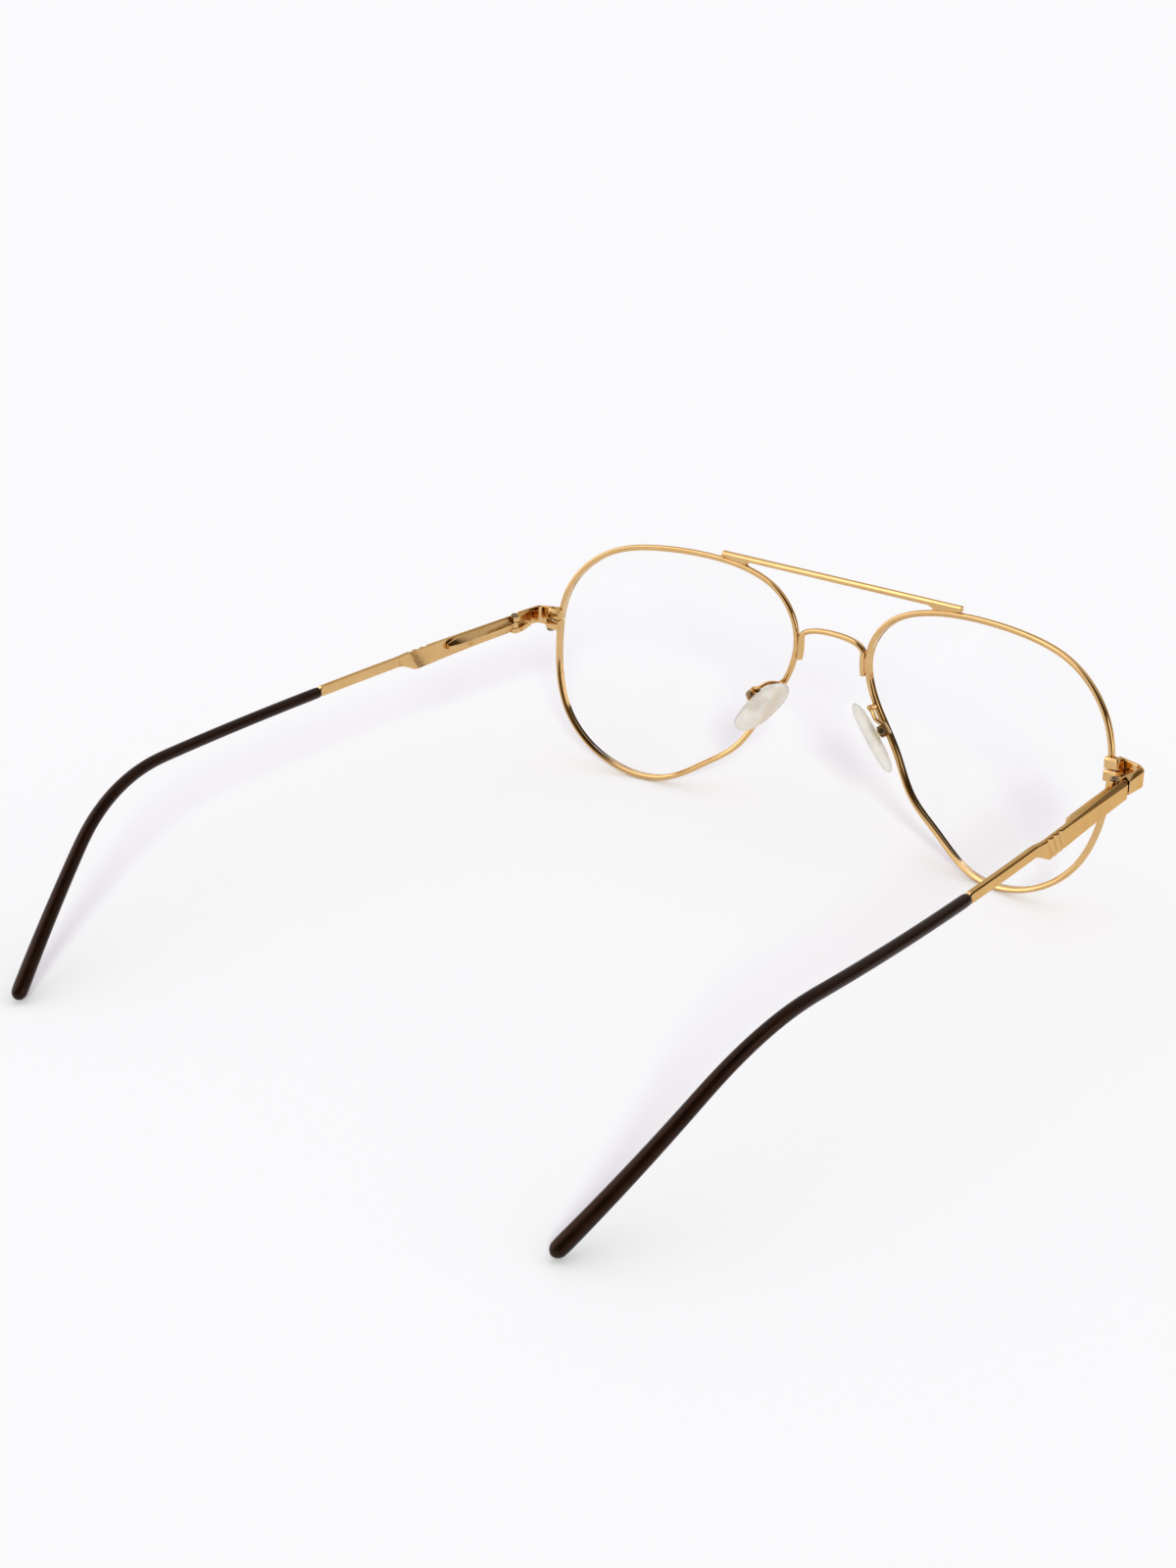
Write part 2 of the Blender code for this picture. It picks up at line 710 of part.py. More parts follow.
def bore_point(s):
    """A point on the spring bore's axis, which is also the slider rod's."""
    _, heading, _, _ = temple_frame(HINGE_AT)
    return HINGE_CENTRE + heading * (s - HINGE_AT)


def slider_shapes():
    """The slider: its eye on the hinge screw, its neck, and the rod that the spring pulls in."""
    half = EYE_HEIGHT / 2
    eye = rod(hinge_point(0, 0, -half), hinge_point(0, 0, half), KNUCKLE_RADIUS, 24)
    neck_half = 0.42
    neck_outline = [(0.6, -neck_half), (BOX_AT - HINGE_AT - 0.12, -neck_half),
                    (BOX_AT - HINGE_AT - 0.12, neck_half), (0.6, neck_half)]
    neck = prism(neck_outline, hinge_point, -neck_half, neck_half)
    head_radius = BORE_RADIUS - 0.1
    heading = bore_point(HINGE_AT + 1) - bore_point(HINGE_AT)
    stem = turned(bore_point(HINGE_AT + 0.75), heading, [
        (0, ROD_RADIUS), (ROD_HEAD_AT - HINGE_AT - 0.75, ROD_RADIUS),
        (ROD_HEAD_AT - HINGE_AT - 0.75, head_radius),
        (ROD_HEAD_AT - HINGE_AT - 0.75 + ROD_HEAD_LENGTH, head_radius)], 12)
    hole = rod(hinge_point(0, 0, -half - 1), hinge_point(0, 0, half + 1), HINGE_HOLE)
    return [eye, neck, stem], hole


def spring_shape():
    """The coil spring round the slider's rod."""
    coil_radius = BORE_RADIUS - 0.07 - SPRING_WIRE_RADIUS
    heading = (bore_point(HINGE_AT + 1) - bore_point(HINGE_AT)).normalized()
    across, along = square_axes(heading)
    steps = 12 * SPRING_TURNS
    path = []
    for i in range(steps + 1):
        turn = 2 * math.pi * SPRING_TURNS * i / steps
        place = SPRING_AT + SPRING_WIRE_RADIUS + (SPRING_LENGTH - 2 * SPRING_WIRE_RADIUS) * i / steps
        path.append(bore_point(place) + across * (coil_radius * math.cos(turn))
                    + along * (coil_radius * math.sin(turn)))
    pitch = SPRING_LENGTH / SPRING_TURNS
    print("least gap between spring turns, mm:", round(pitch - 2 * SPRING_WIRE_RADIUS, 2))
    return swept(path, round_section(SPRING_WIRE_RADIUS, 5))


def box_shapes():
    """The spring box on the temple's inner face, roof-shaped, tapered behind and bored from its front end."""
    end = BOX_AT + BOX_LENGTH
    middle = (BOX_TOP - BOX_DROP) / 2
    section = [(0, BOX_TOP), (BOX_FLAT, BOX_TOP), (BOX_DEPTH, BOX_TOP - BOX_SLOPE_DROP),
               (BOX_DEPTH, BOX_UNDERCUT - BOX_DROP), (BOX_DEPTH - BOX_UNDERCUT, -BOX_DROP), (0, -BOX_DROP)]
    rings = []
    for s, share in ((BOX_AT, 0.93), (BOX_AT + 0.3, 1), (end - BOX_TAPER, 1),
                     (end - BOX_TAPER * 0.2, BOX_END_SHARE + 0.15), (end, BOX_END_SHARE)):
        rings.append([temple_point(s, BOX_IN + i * share, middle + (up - middle) * share) for i, up in section])
    bore = rod(bore_point(BOX_AT - 1), bore_point(BOX_AT + BORE_LENGTH), BORE_RADIUS, 20)
    pin_at = BUSH_AT + BUSH_LENGTH / 2
    pin_hole = rod(bore_point(pin_at) - UP * 3, bore_point(pin_at) - UP * 0.2, BOX_PIN_RADIUS + 0.06, 12)
    return loft(rings), bore, pin_hole


def plate_station(s):
    """Outer, inner, top, bottom and facet of the temple's metal at a place along it."""
    to_bar = min(max((s - STEP_AT + STEP_LENGTH / 2) / STEP_LENGTH, 0), 1)
    ease = 0.5 - 0.5 * math.cos(math.pi * to_bar)
    along_plate = min(max((s - SEAM_AT) / (STEP_AT - SEAM_AT), 0), 1)
    drop = PLATE_DROP + (STEP_DROP - PLATE_DROP) * max(0, (along_plate - 0.4) / 0.6)
    facet_share = max(0, 1 - (s - SEAM_AT) / FACET_LENGTH)
    outer = PLATE_THICK + (BAR_OUT - PLATE_THICK) * ease
    relief = max(0, (HINGE_AT - s) / (HINGE_AT - SEAM_AT - SEAM_GAP))
    inner = BAR_IN * ease - HINGE_RELIEF * relief
    bottom = -drop + (drop - BAR_DROP) * ease
    facet = FACET_BACK + (FACET_FRONT - FACET_BACK) * facet_share
    return outer, inner, PLATE_TOP, bottom, facet


GRIP_AT = STEP_AT - STEP_LENGTH / 2 - 0.7 - GRIP_PITCH * (GRIP_GROOVES - 1)


def groove_depth(s):
    """How far the outer face is cut in at the finger grooves beside the step."""
    depth = 0.0
    for k in range(GRIP_GROOVES):
        miss = abs(s - GRIP_AT - k * GRIP_PITCH) / (GRIP_WIDTH / 2)
        if miss < 1:
            depth = GRIP_DEPTH * (1 - miss * miss)
    return depth


def grip_slant(s):
    """How far forward the section leans for each millimetre down; it is upright away from the grooves."""
    lead = GRIP_PITCH * 2
    coming = min(max((s - GRIP_AT + lead) / lead, 0), 1)
    going = min(max((STEP_AT + STEP_LENGTH - s) / lead, 0), 1)
    return GRIP_SLANT * min(coming, going)


def plate_places():
    """Where the temple's metal has a section, closer together at the grooves and the step."""
    places = [SEAM_AT + SEAM_GAP, HINGE_AT, SEAM_AT + SEAM_GAP + 5, SEAM_AT + SEAM_GAP + 11, 23.0, 26.5]
    places += [GRIP_AT - GRIP_PITCH * share for share in (2, 1.5, 1, 0.6)]
    for k in range(GRIP_GROOVES):
        places += [GRIP_AT + k * GRIP_PITCH + GRIP_WIDTH * share for share in (-0.5, -0.25, 0, 0.25, 0.5)]
    end = places[-1]
    steps = 6
    places += [end + (STEP_AT + STEP_LENGTH / 2 - end) * (i + 1) / steps for i in range(steps)]
    after = STEP_AT + STEP_LENGTH / 2
    places += [after + GRIP_PITCH / 2, after + GRIP_PITCH]
    places += [after + GRIP_PITCH + (TIP_AT - 0.6 - after - GRIP_PITCH) * (i + 1) / 5 for i in range(5)]
    return sorted(p for p in places if p < TIP_AT)


CORE_RADIUS = TIP_RADIUS - TIP_WALL - 0.15
TIP_STEPS = 34


def core_section():
    return [(CORE_RADIUS * math.cos(math.pi * (k + 0.5) / 4), CORE_RADIUS * math.sin(math.pi * (k + 0.5) / 4))
            for k in range(8)]


def temple_metal_shape():
    """Plate, step, narrow bar and the core wire that runs on inside the tip."""
    rings = []
    for s in plate_places():
        outer, inner, top, bottom, facet = plate_station(s)
        cut = groove_depth(s)
        low = outer - cut * GRIP_LOW_SHARE
        outer -= cut
        e = PLATE_EDGE
        bevel = min(facet, outer + inner - 2 * e)
        section = [(inner, top - e), (inner - e, top), (bevel - outer, top), (-outer, top - facet),
                   (-low, bottom + e), (e - low, bottom), (inner - e, bottom), (inner, bottom + e)]
        slant = grip_slant(s)
        rings.append([temple_point(s - slant * (top - up), i, up) for i, up in section])
    core = core_section()
    core_end = TEMPLE_LENGTH - CORE_END_COVER
    core_start = TIP_AT - 0.1
    count = TIP_STEPS
    for k in range(count + 1):
        s = core_start + (core_end - core_start) * k / count
        rings.append([temple_point(s, i, up) for i, up in core])
    return loft(rings)


def tip_radius(s):
    """The tip is even to the bend, then swells to its end."""
    start = BEND_AT - BEND_RADIUS * TEMPLE_BEND / 2
    share = min(max((s - start) / (TEMPLE_LENGTH - start), 0), 1)
    return TIP_RADIUS + (TIP_END_RADIUS - TIP_RADIUS) * share ** 1.5


def tip_shape():
    """The plastic tip: a tube over the core wire with a rounded, closed end."""
    sides = 12
    bore = TIP_RADIUS - TIP_WALL
    bore_end = TEMPLE_LENGTH - CORE_END_COVER + 0.4

    def ring(s, radius, centre_at=None):
        centre, _, into, rise = temple_frame(s if centre_at is None else centre_at)
        return circle(centre, into, rise, radius, sides)

    outside = [ring(TIP_AT, TIP_RADIUS - 0.15), ring(TIP_AT + 0.15, TIP_RADIUS)]
    round_start = TEMPLE_LENGTH - TIP_END_RADIUS * 0.4
    for k in range(1, TIP_STEPS + 1):
        s = TIP_AT + 0.15 + (round_start - TIP_AT - 0.15) * k / TIP_STEPS
        outside.append(ring(s, tip_radius(s)))
    for turn in (25, 50, 70, 83):
        angle = math.radians(turn)
        s = round_start + TIP_END_RADIUS * math.sin(angle) - 0.01
        outside.append(ring(s, tip_radius(round_start) * math.cos(angle)))
    inside = [ring(bore_end, bore * 0.6)]
    for k in range(TIP_STEPS + 1):
        s = bore_end - 0.3 - (bore_end - 0.3 - TIP_AT) * k / TIP_STEPS
        inside.append(ring(s, bore))
    points, faces = loft(inside + outside)
    return points, faces


PAD_ALONG = Vector((math.sin(PAD_SPLAY) * math.cos(PAD_LEAN), math.sin(PAD_LEAN),
                    -math.cos(PAD_SPLAY) * math.cos(PAD_LEAN)))
PAD_LEVEL = (Vector((0, 1, 0)) - PAD_ALONG * PAD_ALONG.y).normalized()
PAD_ACROSS = PAD_LEVEL * math.cos(PAD_TURN) + PAD_ALONG.cross(PAD_LEVEL) * math.sin(PAD_TURN)
PAD_OUT = PAD_ALONG.cross(PAD_ACROSS)


def pad_point(along, across, out):
    """A point by a nose pad: down its length, across it and out from its back."""
    return Vector((PAD_X, PAD_Y, PAD_Z)) + PAD_ALONG * along + PAD_ACROSS * across + PAD_OUT * out


def pad_mount(along, across, out):
    """A point by the pad's box, down its length and across it from the middle of the pivot."""
    return pad_point(PAD_BOX_ALONG + along, PAD_BOX_SIDE + across, out)


# The pad's section, as (share of its half sizes, distance out), from its back to the nose side
PAD_PROFILE = [(0.42, 1.15), (0.68, 1.0), (0.88, 0.62), (1.0, 0.0), (0.97, -0.6), (0.82, -1.1), (0.5, -1.35)]


def pad_shapes():
    """The soft pad, crowned on the nose side, with a pocket in its back for the insert."""
    sides = 28
    rings = []
    for share, out in PAD_PROFILE:
        ring = []
        for i in range(sides):
            turn = 2 * math.pi * i / sides
            c, s = math.cos(turn), math.sin(turn)
            along = math.copysign(abs(c) ** 0.85, c) * PAD_LENGTH / 2 * share
            across = math.copysign(abs(s) ** 0.85, s) * PAD_WIDTH / 2 * share
            ring.append(pad_point(along, across, out))
        rings.append(ring)
    a = PAD_POCKET_LENGTH / 2
    b = PAD_POCKET_WIDTH / 2
    outline = [(-a, -b), (a, -b), (a, b), (-a, b)]
    return loft(rings), prism(outline, pad_mount, PAD_POCKET_FLOOR, 3)


def pad_screw_hole():
    return rod(pad_mount(0, -4, PAD_PIVOT_HEIGHT), pad_mount(0, 4, PAD_PIVOT_HEIGHT), PAD_SCREW_RADIUS + SEAT, 12)


def insert_shapes():
    """The hard insert: a plate in the pad's pocket and the lug that stands in the arm's box."""
    a = PAD_POCKET_LENGTH / 2 - SEAT
    b = PAD_POCKET_WIDTH / 2 - SEAT
    low = PAD_POCKET_FLOOR + SEAT
    plate_outline = [(-a, -b), (a, -b), (a, b), (-a, b)]
    plate = prism(plate_outline, pad_mount, low, low + INSERT_THICK)
    h = LUG_HALF_LENGTH
    lug_top = PAD_PIVOT_HEIGHT + 0.6
    lug_outline = [(-h, low + INSERT_THICK / 2), (h, low + INSERT_THICK / 2), (h, lug_top - 0.25),
                   (h - 0.3, lug_top), (0.3 - h, lug_top), (-h, lug_top - 0.25)]
    lug = prism(lug_outline, lambda along, out, across: pad_mount(along, across, out),
                -LUG_THICK / 2, LUG_THICK / 2)
    return [plate, lug], pad_screw_hole()


PAD_BOX_INNER = LUG_THICK / 2 + RUN
PAD_BOX_OUTER = PAD_BOX_INNER + PAD_BOX_WALL
PAD_BOX_ROOF = PAD_PIVOT_HEIGHT + 0.6 + 0.25


def pad_arm_shapes():
    """The arm's wire from the rim, and the box at its end that holds the pad's lug."""
    root = rim_offset(rim_share_at(PAD_ARM_RISE, inner=True), 0.1, RIM_DEPTH / 2 + SEAT + PAD_ARM_RADIUS)
    knots = [
        root,
        root + FRONT_BACK * PAD_ARM_STAND_OFF,
        pad_mount(PAD_ARM_TURN_ALONG, PAD_ARM_TURN_ACROSS, PAD_PIVOT_HEIGHT - PAD_ARM_LOW),
        pad_mount(PAD_ARM_NEAR_ALONG, PAD_ARM_NEAR_ACROSS, PAD_PIVOT_HEIGHT - PAD_ARM_LOW),
        pad_mount(PAD_ARM_RADIUS / 2 - PAD_BOX_HALF_LENGTH, PAD_ARM_NEAR_ACROSS, PAD_BOX_ROOF),
    ]
    wire = swept(smooth_path(knots, 5), round_section(PAD_ARM_RADIUS, 10))
    top = PAD_BOX_ROOF + PAD_BOX_WALL
    outline = [
        (-PAD_BOX_OUTER, PAD_BOX_FOOT), (-PAD_BOX_INNER, PAD_BOX_FOOT), (-PAD_BOX_INNER, PAD_BOX_ROOF),
        (PAD_BOX_INNER, PAD_BOX_ROOF), (PAD_BOX_INNER, PAD_BOX_FOOT), (PAD_BOX_OUTER, PAD_BOX_FOOT),
        (PAD_BOX_OUTER, top - 0.3), (PAD_BOX_OUTER - 0.3, top), (0.3 - PAD_BOX_OUTER, top),
        (-PAD_BOX_OUTER, top - 0.3),
    ]
    box = prism(outline, lambda across, out, along: pad_mount(along, across, out),
                -PAD_BOX_HALF_LENGTH, PAD_BOX_HALF_LENGTH)
    return [box, wire], pad_screw_hole()


def bridge_shape():
    """One wire: a foot beside each rim and the arch between them."""
    stand_off = RIM_THICK / 2 + SEAT + BRIDGE_THICK / 2
    low = rim_share_at(BRIDGE_FOOT, inner=True)
    high = rim_share_at(BRIDGE_SPRING_LINE, inner=True)
    foot_steps = 5
    left = [rim_offset(low + (high - low) * i / foot_steps, stand_off) for i in range(foot_steps + 1)]
    top = left[-1]
    arch_steps = 22
    arch = []
    for i in range(1, arch_steps):
        turn = math.pi * i / arch_steps
        c, s = math.cos(turn), math.sin(turn)
        arch.append(Vector((top.x * math.copysign(abs(c) ** 0.9, c), top.y, top.z + BRIDGE_RISE * s ** 0.9)))
    right = [Vector((-p.x, p.y, p.z)) for p in reversed(left)]
    section = eased_box(BRIDGE_THICK / 2, BRIDGE_DEPTH / 2, 0.3)
    return swept(left + arch + right, section, lean=Vector((0, math.cos(TILT), math.sin(TILT))))


def rim_top_at(x):
    """The rim's upper surface, a seat's gap above it, at a distance from the middle."""
    best = None
    for i in range(1200):
        share = i / 1200
        if rim_place(share)[1][1] < 0.3:
            continue
        point = rim_offset(share, RIM_THICK / 2 + SEAT)
        if best is None or abs(point.x - x) < abs(best.x - x):
            best = point
    return best


def brow_bar_shape():
    """A straight bar whose ends sit on the rims, with a wedge of solder under each end."""
    end = rim_top_at(BROW_HALF_LENGTH)
    bottom = end.z + 0.05
    top = bottom + BROW_HEIGHT
    foot = []
    foot_steps = 4
    for i in range(foot_steps + 1):
        x = BROW_HALF_LENGTH - BROW_FOOT_LENGTH * i / foot_steps
        foot.append((x, rim_top_at(x).z))
    foot.append((BROW_HALF_LENGTH - BROW_FOOT_LENGTH - 1.6, bottom))
    right_side = [(-x, z) for x, z in reversed(foot)]
    middle = end.y
    rings = []
    for y, lowered in ((middle - BROW_DEPTH / 2, 0.1), (middle - BROW_DEPTH / 2 + 0.1, 0),
                       (middle + BROW_DEPTH / 2 - BROW_BEVEL, 0), (middle + BROW_DEPTH / 2, BROW_BEVEL)):
        outline = [(-BROW_HALF_LENGTH, top - lowered), (BROW_HALF_LENGTH, top - lowered)] + foot + right_side
        rings.append([Vector((x, y, z)) for x, z in outline])
    return loft(rings)


def clear_scene():
    for item in list(bpy.data.objects):
        bpy.data.objects.remove(item, do_unlink=True)


def build_front_side(side, word):
    """One rim with its lens, lock, end piece and hinge leaf."""
    build(f"rim_{word}", side, GOLD, [rim_shape()])
    build(f"lens_{word}", side, CLEAR_LENS, [lens_shape()])
    (upper, lower), hole = lock_shapes()
    build(f"rim_lock_upper_{word}", side, PALE_GOLD, [upper], [hole])
    build(f"rim_lock_lower_{word}", side, PALE_GOLD, [lower], [hole])
    head = LOCK_HEIGHT / 2 + SEAT + LOCK_SCREW_HEAD_HEIGHT
    body, slot = slotted_screw(lock_point(LOCK_SCREW_OUT, LOCK_SCREW_BACK, -head), LOCK_UP,
                               LOCK_SCREW_HEAD_RADIUS, LOCK_SCREW_HEAD_HEIGHT, SEAT,
                               LOCK_SCREW_RADIUS, head + LOCK_HEIGHT / 2 - 0.3)
    build(f"rim_lock_screw_{word}", side, STEEL, [body], [slot])
    build(f"end_piece_{word}", side, GOLD, [strap_shape()])
    shapes, hole = leaf_shapes()
    build(f"hinge_leaf_{word}", side, PALE_GOLD, shapes, [hole])
    head = HINGE_HALF + SEAT + HINGE_HEAD_HEIGHT
    body, slot = slotted_screw(hinge_point(0, 0, head), -UP, HINGE_HEAD_RADIUS, HINGE_HEAD_HEIGHT, SEAT,
                               HINGE_SCREW_RADIUS, head + HINGE_HALF)
    build(f"hinge_screw_{word}", side, STEEL, [body], [slot], pivot=HINGE_CENTRE)


def build_hinge_slider(side, word):
    """The pieces between the front and the temple, which turn on the hinge screw."""
    shapes, hole = slider_shapes()
    build(f"hinge_slider_{word}", side, PALE_GOLD, shapes, [hole], pivot=HINGE_CENTRE)
    build(f"hinge_spring_{word}", side, STEEL, [spring_shape()], pivot=HINGE_CENTRE)


def build_temple(side, word):
    """The temple, with the spring box that slides on the slider's rod."""
    box, bore, pin_hole = box_shapes()
    build(f"spring_box_{word}", side, PALE_GOLD, [box], [bore, pin_hole], pivot=HINGE_CENTRE)
    bush = pipe(bore_point(BUSH_AT), bore_point(BUSH_AT + BUSH_LENGTH), BORE_RADIUS - 0.07, ROD_RADIUS + 0.08)
    build(f"retaining_bush_{word}", side, STEEL, [bush], pivot=HINGE_CENTRE)
    pin_at = bore_point(BUSH_AT + BUSH_LENGTH / 2)
    pin = rod(pin_at - UP * (BOX_DROP - HINGE_DROP + 0.1), pin_at - UP * (BORE_RADIUS - 0.02), BOX_PIN_RADIUS, 12)
    build(f"bush_pin_{word}", side, STEEL, [pin], pivot=HINGE_CENTRE)
    build(f"temple_plate_{word}", side, GOLD, [temple_metal_shape()], pivot=HINGE_CENTRE)
    build(f"temple_tip_{word}", side, DARK_TIP, [tip_shape()], pivot=HINGE_CENTRE)


def build_nose_pad(side, word):
    """The pad arm on the rim, and the pad that rocks on its screw."""
    pivot = pad_mount(0, 0, PAD_PIVOT_HEIGHT)
    shapes, hole = pad_arm_shapes()
    build(f"pad_arm_{word}", side, GOLD, shapes, [hole])
    head = PAD_BOX_OUTER + SEAT + PAD_SCREW_HEAD_HEIGHT
    body, slot = slotted_screw(pad_mount(0, head, PAD_PIVOT_HEIGHT), -PAD_ACROSS, PAD_SCREW_HEAD_RADIUS,
                               PAD_SCREW_HEAD_HEIGHT, SEAT, PAD_SCREW_RADIUS,
                               PAD_SCREW_HEAD_HEIGHT + SEAT + 2 * PAD_BOX_OUTER, 16)
    build(f"pad_screw_{word}", side, STEEL, [body], [slot])
    pad, pocket = pad_shapes()
    build(f"nose_pad_{word}", side, SILICONE, [pad], [pocket], pivot=pivot)
    shapes, hole = insert_shapes()
    build(f"pad_insert_{word}", side, INSERT_PLASTIC, shapes, [hole], pivot=pivot)


def centre_on_origin():
    """Put the origin on the table, midway between the front and the tips."""
    bpy.context.view_layer.update()
    ys = []
    for body in bpy.data.objects:
        if not body.hide_render:
            ys += [(body.matrix_world @ vertex.co).y for vertex in body.data.vertices]
    middle = (min(ys) + max(ys)) / 2
    for body in bpy.data.objects:
        body.location.y -= middle
    return middle


def main():
    clear_scene()
    build("bridge", 1, GOLD, [bridge_shape()])
    build("brow_bar", 1, GOLD, [brow_bar_shape()])
    for side, word in ((1, "left"), (-1, "right")):
        build_front_side(side, word)
        build_hinge_slider(side, word)
        build_temple(side, word)
        build_nose_pad(side, word)
    shift = centre_on_origin()
    for name, point in (("hinge axis", HINGE_CENTRE), ("pad pivot", pad_mount(0, 0, PAD_PIVOT_HEIGHT))):
        print(name, "of the left side, mm:", [round(v, 3) for v in (point.x, point.y - shift / MM, point.z)])
    print("pad pivot axis:", [round(v, 5) for v in PAD_ACROSS])
    print("temple slide axis:", [round(v, 5) for v in TEMPLE_HEADING])


main()
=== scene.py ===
import math

import bmesh
import bpy
import numpy as np
from mathutils import Matrix, Vector


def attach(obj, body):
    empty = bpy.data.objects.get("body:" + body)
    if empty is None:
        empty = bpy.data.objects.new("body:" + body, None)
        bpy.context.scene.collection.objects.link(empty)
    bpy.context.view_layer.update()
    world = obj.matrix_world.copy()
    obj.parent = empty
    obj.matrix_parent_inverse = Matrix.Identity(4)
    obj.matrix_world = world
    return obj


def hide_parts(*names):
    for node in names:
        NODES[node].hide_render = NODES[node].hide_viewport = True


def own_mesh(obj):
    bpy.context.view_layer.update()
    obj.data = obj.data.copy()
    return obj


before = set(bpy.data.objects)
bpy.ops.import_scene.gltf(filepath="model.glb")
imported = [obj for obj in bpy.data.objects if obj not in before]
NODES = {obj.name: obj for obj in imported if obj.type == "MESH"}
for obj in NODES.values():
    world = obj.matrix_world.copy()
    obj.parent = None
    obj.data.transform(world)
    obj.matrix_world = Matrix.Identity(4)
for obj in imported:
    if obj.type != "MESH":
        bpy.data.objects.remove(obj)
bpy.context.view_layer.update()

# Lengths are in millimetres, apart from those multiplied by MM, which are in metres
MM = 0.001
SIDES = ((1, "left"), (-1, "right"))

# From the front's own origin to the middle of the whole part, along Y
Y_SHIFT = 74.396

# Camera, from the fit of the CAD's own curves to the photograph: angles are in radians, and the
# focal length and the centre in pixels
IMAGE_HEIGHT = 1600
FOCAL_PIXELS = 2398.81
CAMERA_PLACE = Vector((-242.255, 292.726, 188.364)) * MM
CAMERA_AZIMUTH = 2.4548
CAMERA_DOWN = 0.38929
CAMERA_ROLL = 0.0077
CENTRE_RIGHT = 5.71
CENTRE_UP = 2.42
SENSOR = 36.0
CLIP_NEAR = 10 * MM
CLIP_FAR = 50000 * MM


def make_camera():
    """The photograph's camera."""
    data = bpy.data.cameras.new("camera")
    data.sensor_width = SENSOR
    data.lens = FOCAL_PIXELS / IMAGE_HEIGHT * SENSOR
    data.shift_x = -CENTRE_RIGHT / IMAGE_HEIGHT
    data.shift_y = -CENTRE_UP / IMAGE_HEIGHT
    data.clip_start = CLIP_NEAR
    data.clip_end = CLIP_FAR
    camera = bpy.data.objects.new("camera", data)
    bpy.context.scene.collection.objects.link(camera)
    ahead = Vector((math.sin(CAMERA_AZIMUTH) * math.cos(CAMERA_DOWN),
                    math.cos(CAMERA_AZIMUTH) * math.cos(CAMERA_DOWN),
                    -math.sin(CAMERA_DOWN)))
    level = ahead.cross(Vector((0, 0, 1))).normalized()
    upright = level.cross(ahead)
    right = level * math.cos(CAMERA_ROLL) + upright * math.sin(CAMERA_ROLL)
    up = upright * math.cos(CAMERA_ROLL) - level * math.sin(CAMERA_ROLL)
    turn = Matrix((right, up, -ahead)).transposed().to_4x4()
    camera.matrix_world = Matrix.Translation(CAMERA_PLACE) @ turn
    bpy.context.scene.camera = camera


# The span that a noise texture's factor mostly keeps to
NOISE_LOW = 0.3
NOISE_HIGH = 0.7

# Tint of the plated metals where they are seen at a grazing angle
EDGE_TINT = (0.91, 0.72, 0.47, 1)


def add_node(tree, kind, **values):
    """A shader node, with its properties and its inputs set by name."""
    node = tree.nodes.new(kind)
    for key, value in values.items():
        if hasattr(node, key):
            setattr(node, key, value)
        else:
            node.inputs[key.replace("_", " ")].default_value = value
    return node


def new_material(name, **values):
    """A material, its node tree and its shader, with the shader's inputs set by name."""
    material = bpy.data.materials.new(name)
    material.use_nodes = True
    tree = material.node_tree
    shader = tree.nodes["Principled BSDF"]
    for key, value in values.items():
        shader.inputs[key.replace("_", " ")].default_value = value
    return material, tree, shader


def noise(tree, scale, detail, stretch=(1, 1, 1)):
    """The factor of a noise on the object's own coordinates; scale is in cells per metre."""
    place = add_node(tree, "ShaderNodeTexCoord")
    mapping = add_node(tree, "ShaderNodeMapping", Scale=stretch)
    texture = add_node(tree, "ShaderNodeTexNoise", Scale=scale, Detail=detail)
    tree.links.new(place.outputs["Object"], mapping.inputs["Vector"])
    tree.links.new(mapping.outputs["Vector"], texture.inputs["Vector"])
    return texture.outputs["Fac"]


def ramp(tree, factor, stops):
    """The colour of a ramp on a factor; stops are (place, colour)."""
    node = add_node(tree, "ShaderNodeValToRGB")
    elements = node.color_ramp.elements
    while len(elements) < len(stops):
        elements.new(0.5)
    for element, (place, colour) in zip(elements, stops):
        element.position = place
        element.color = colour
    tree.links.new(factor, node.inputs["Fac"])
    return node.outputs["Color"]


def paint(tree, shader, factor, deep, pale, start=NOISE_LOW):
    """Lets the base colour drift between two colours with a noise."""
    colour = ramp(tree, factor, [(start, deep), (NOISE_HIGH, pale)])
    tree.links.new(colour, shader.inputs["Base Color"])


def roughen(tree, shader, factor, smooth, rough):
    """Lets the roughness drift between two values with a noise."""
    node = add_node(tree, "ShaderNodeMapRange", From_Min=NOISE_LOW, From_Max=NOISE_HIGH,
                    To_Min=smooth, To_Max=rough)
    tree.links.new(factor, node.inputs["Value"])
    tree.links.new(node.outputs["Result"], shader.inputs["Roughness"])


def bump(tree, shader, factor, strength, distance):
    """Fine relief from a noise."""
    node = add_node(tree, "ShaderNodeBump", Strength=strength, Distance=distance)
    tree.links.new(factor, node.inputs["Height"])
    tree.links.new(node.outputs["Normal"], shader.inputs["Normal"])


def metal(name, pale, deep, smooth, rough):
    """Plated metal: slight colour drift, polishing marks and micro scratches."""
    material, tree, shader = new_material(name, Metallic=1.0, Specular_Tint=EDGE_TINT)
    paint(tree, shader, noise(tree, scale=260, detail=3), deep, pale)
    marks = noise(tree, scale=1400, detail=4, stretch=(1, 0.35, 1))
    roughen(tree, shader, marks, smooth, rough)
    bump(tree, shader, marks, strength=0.025, distance=0.02 * MM)
    return material


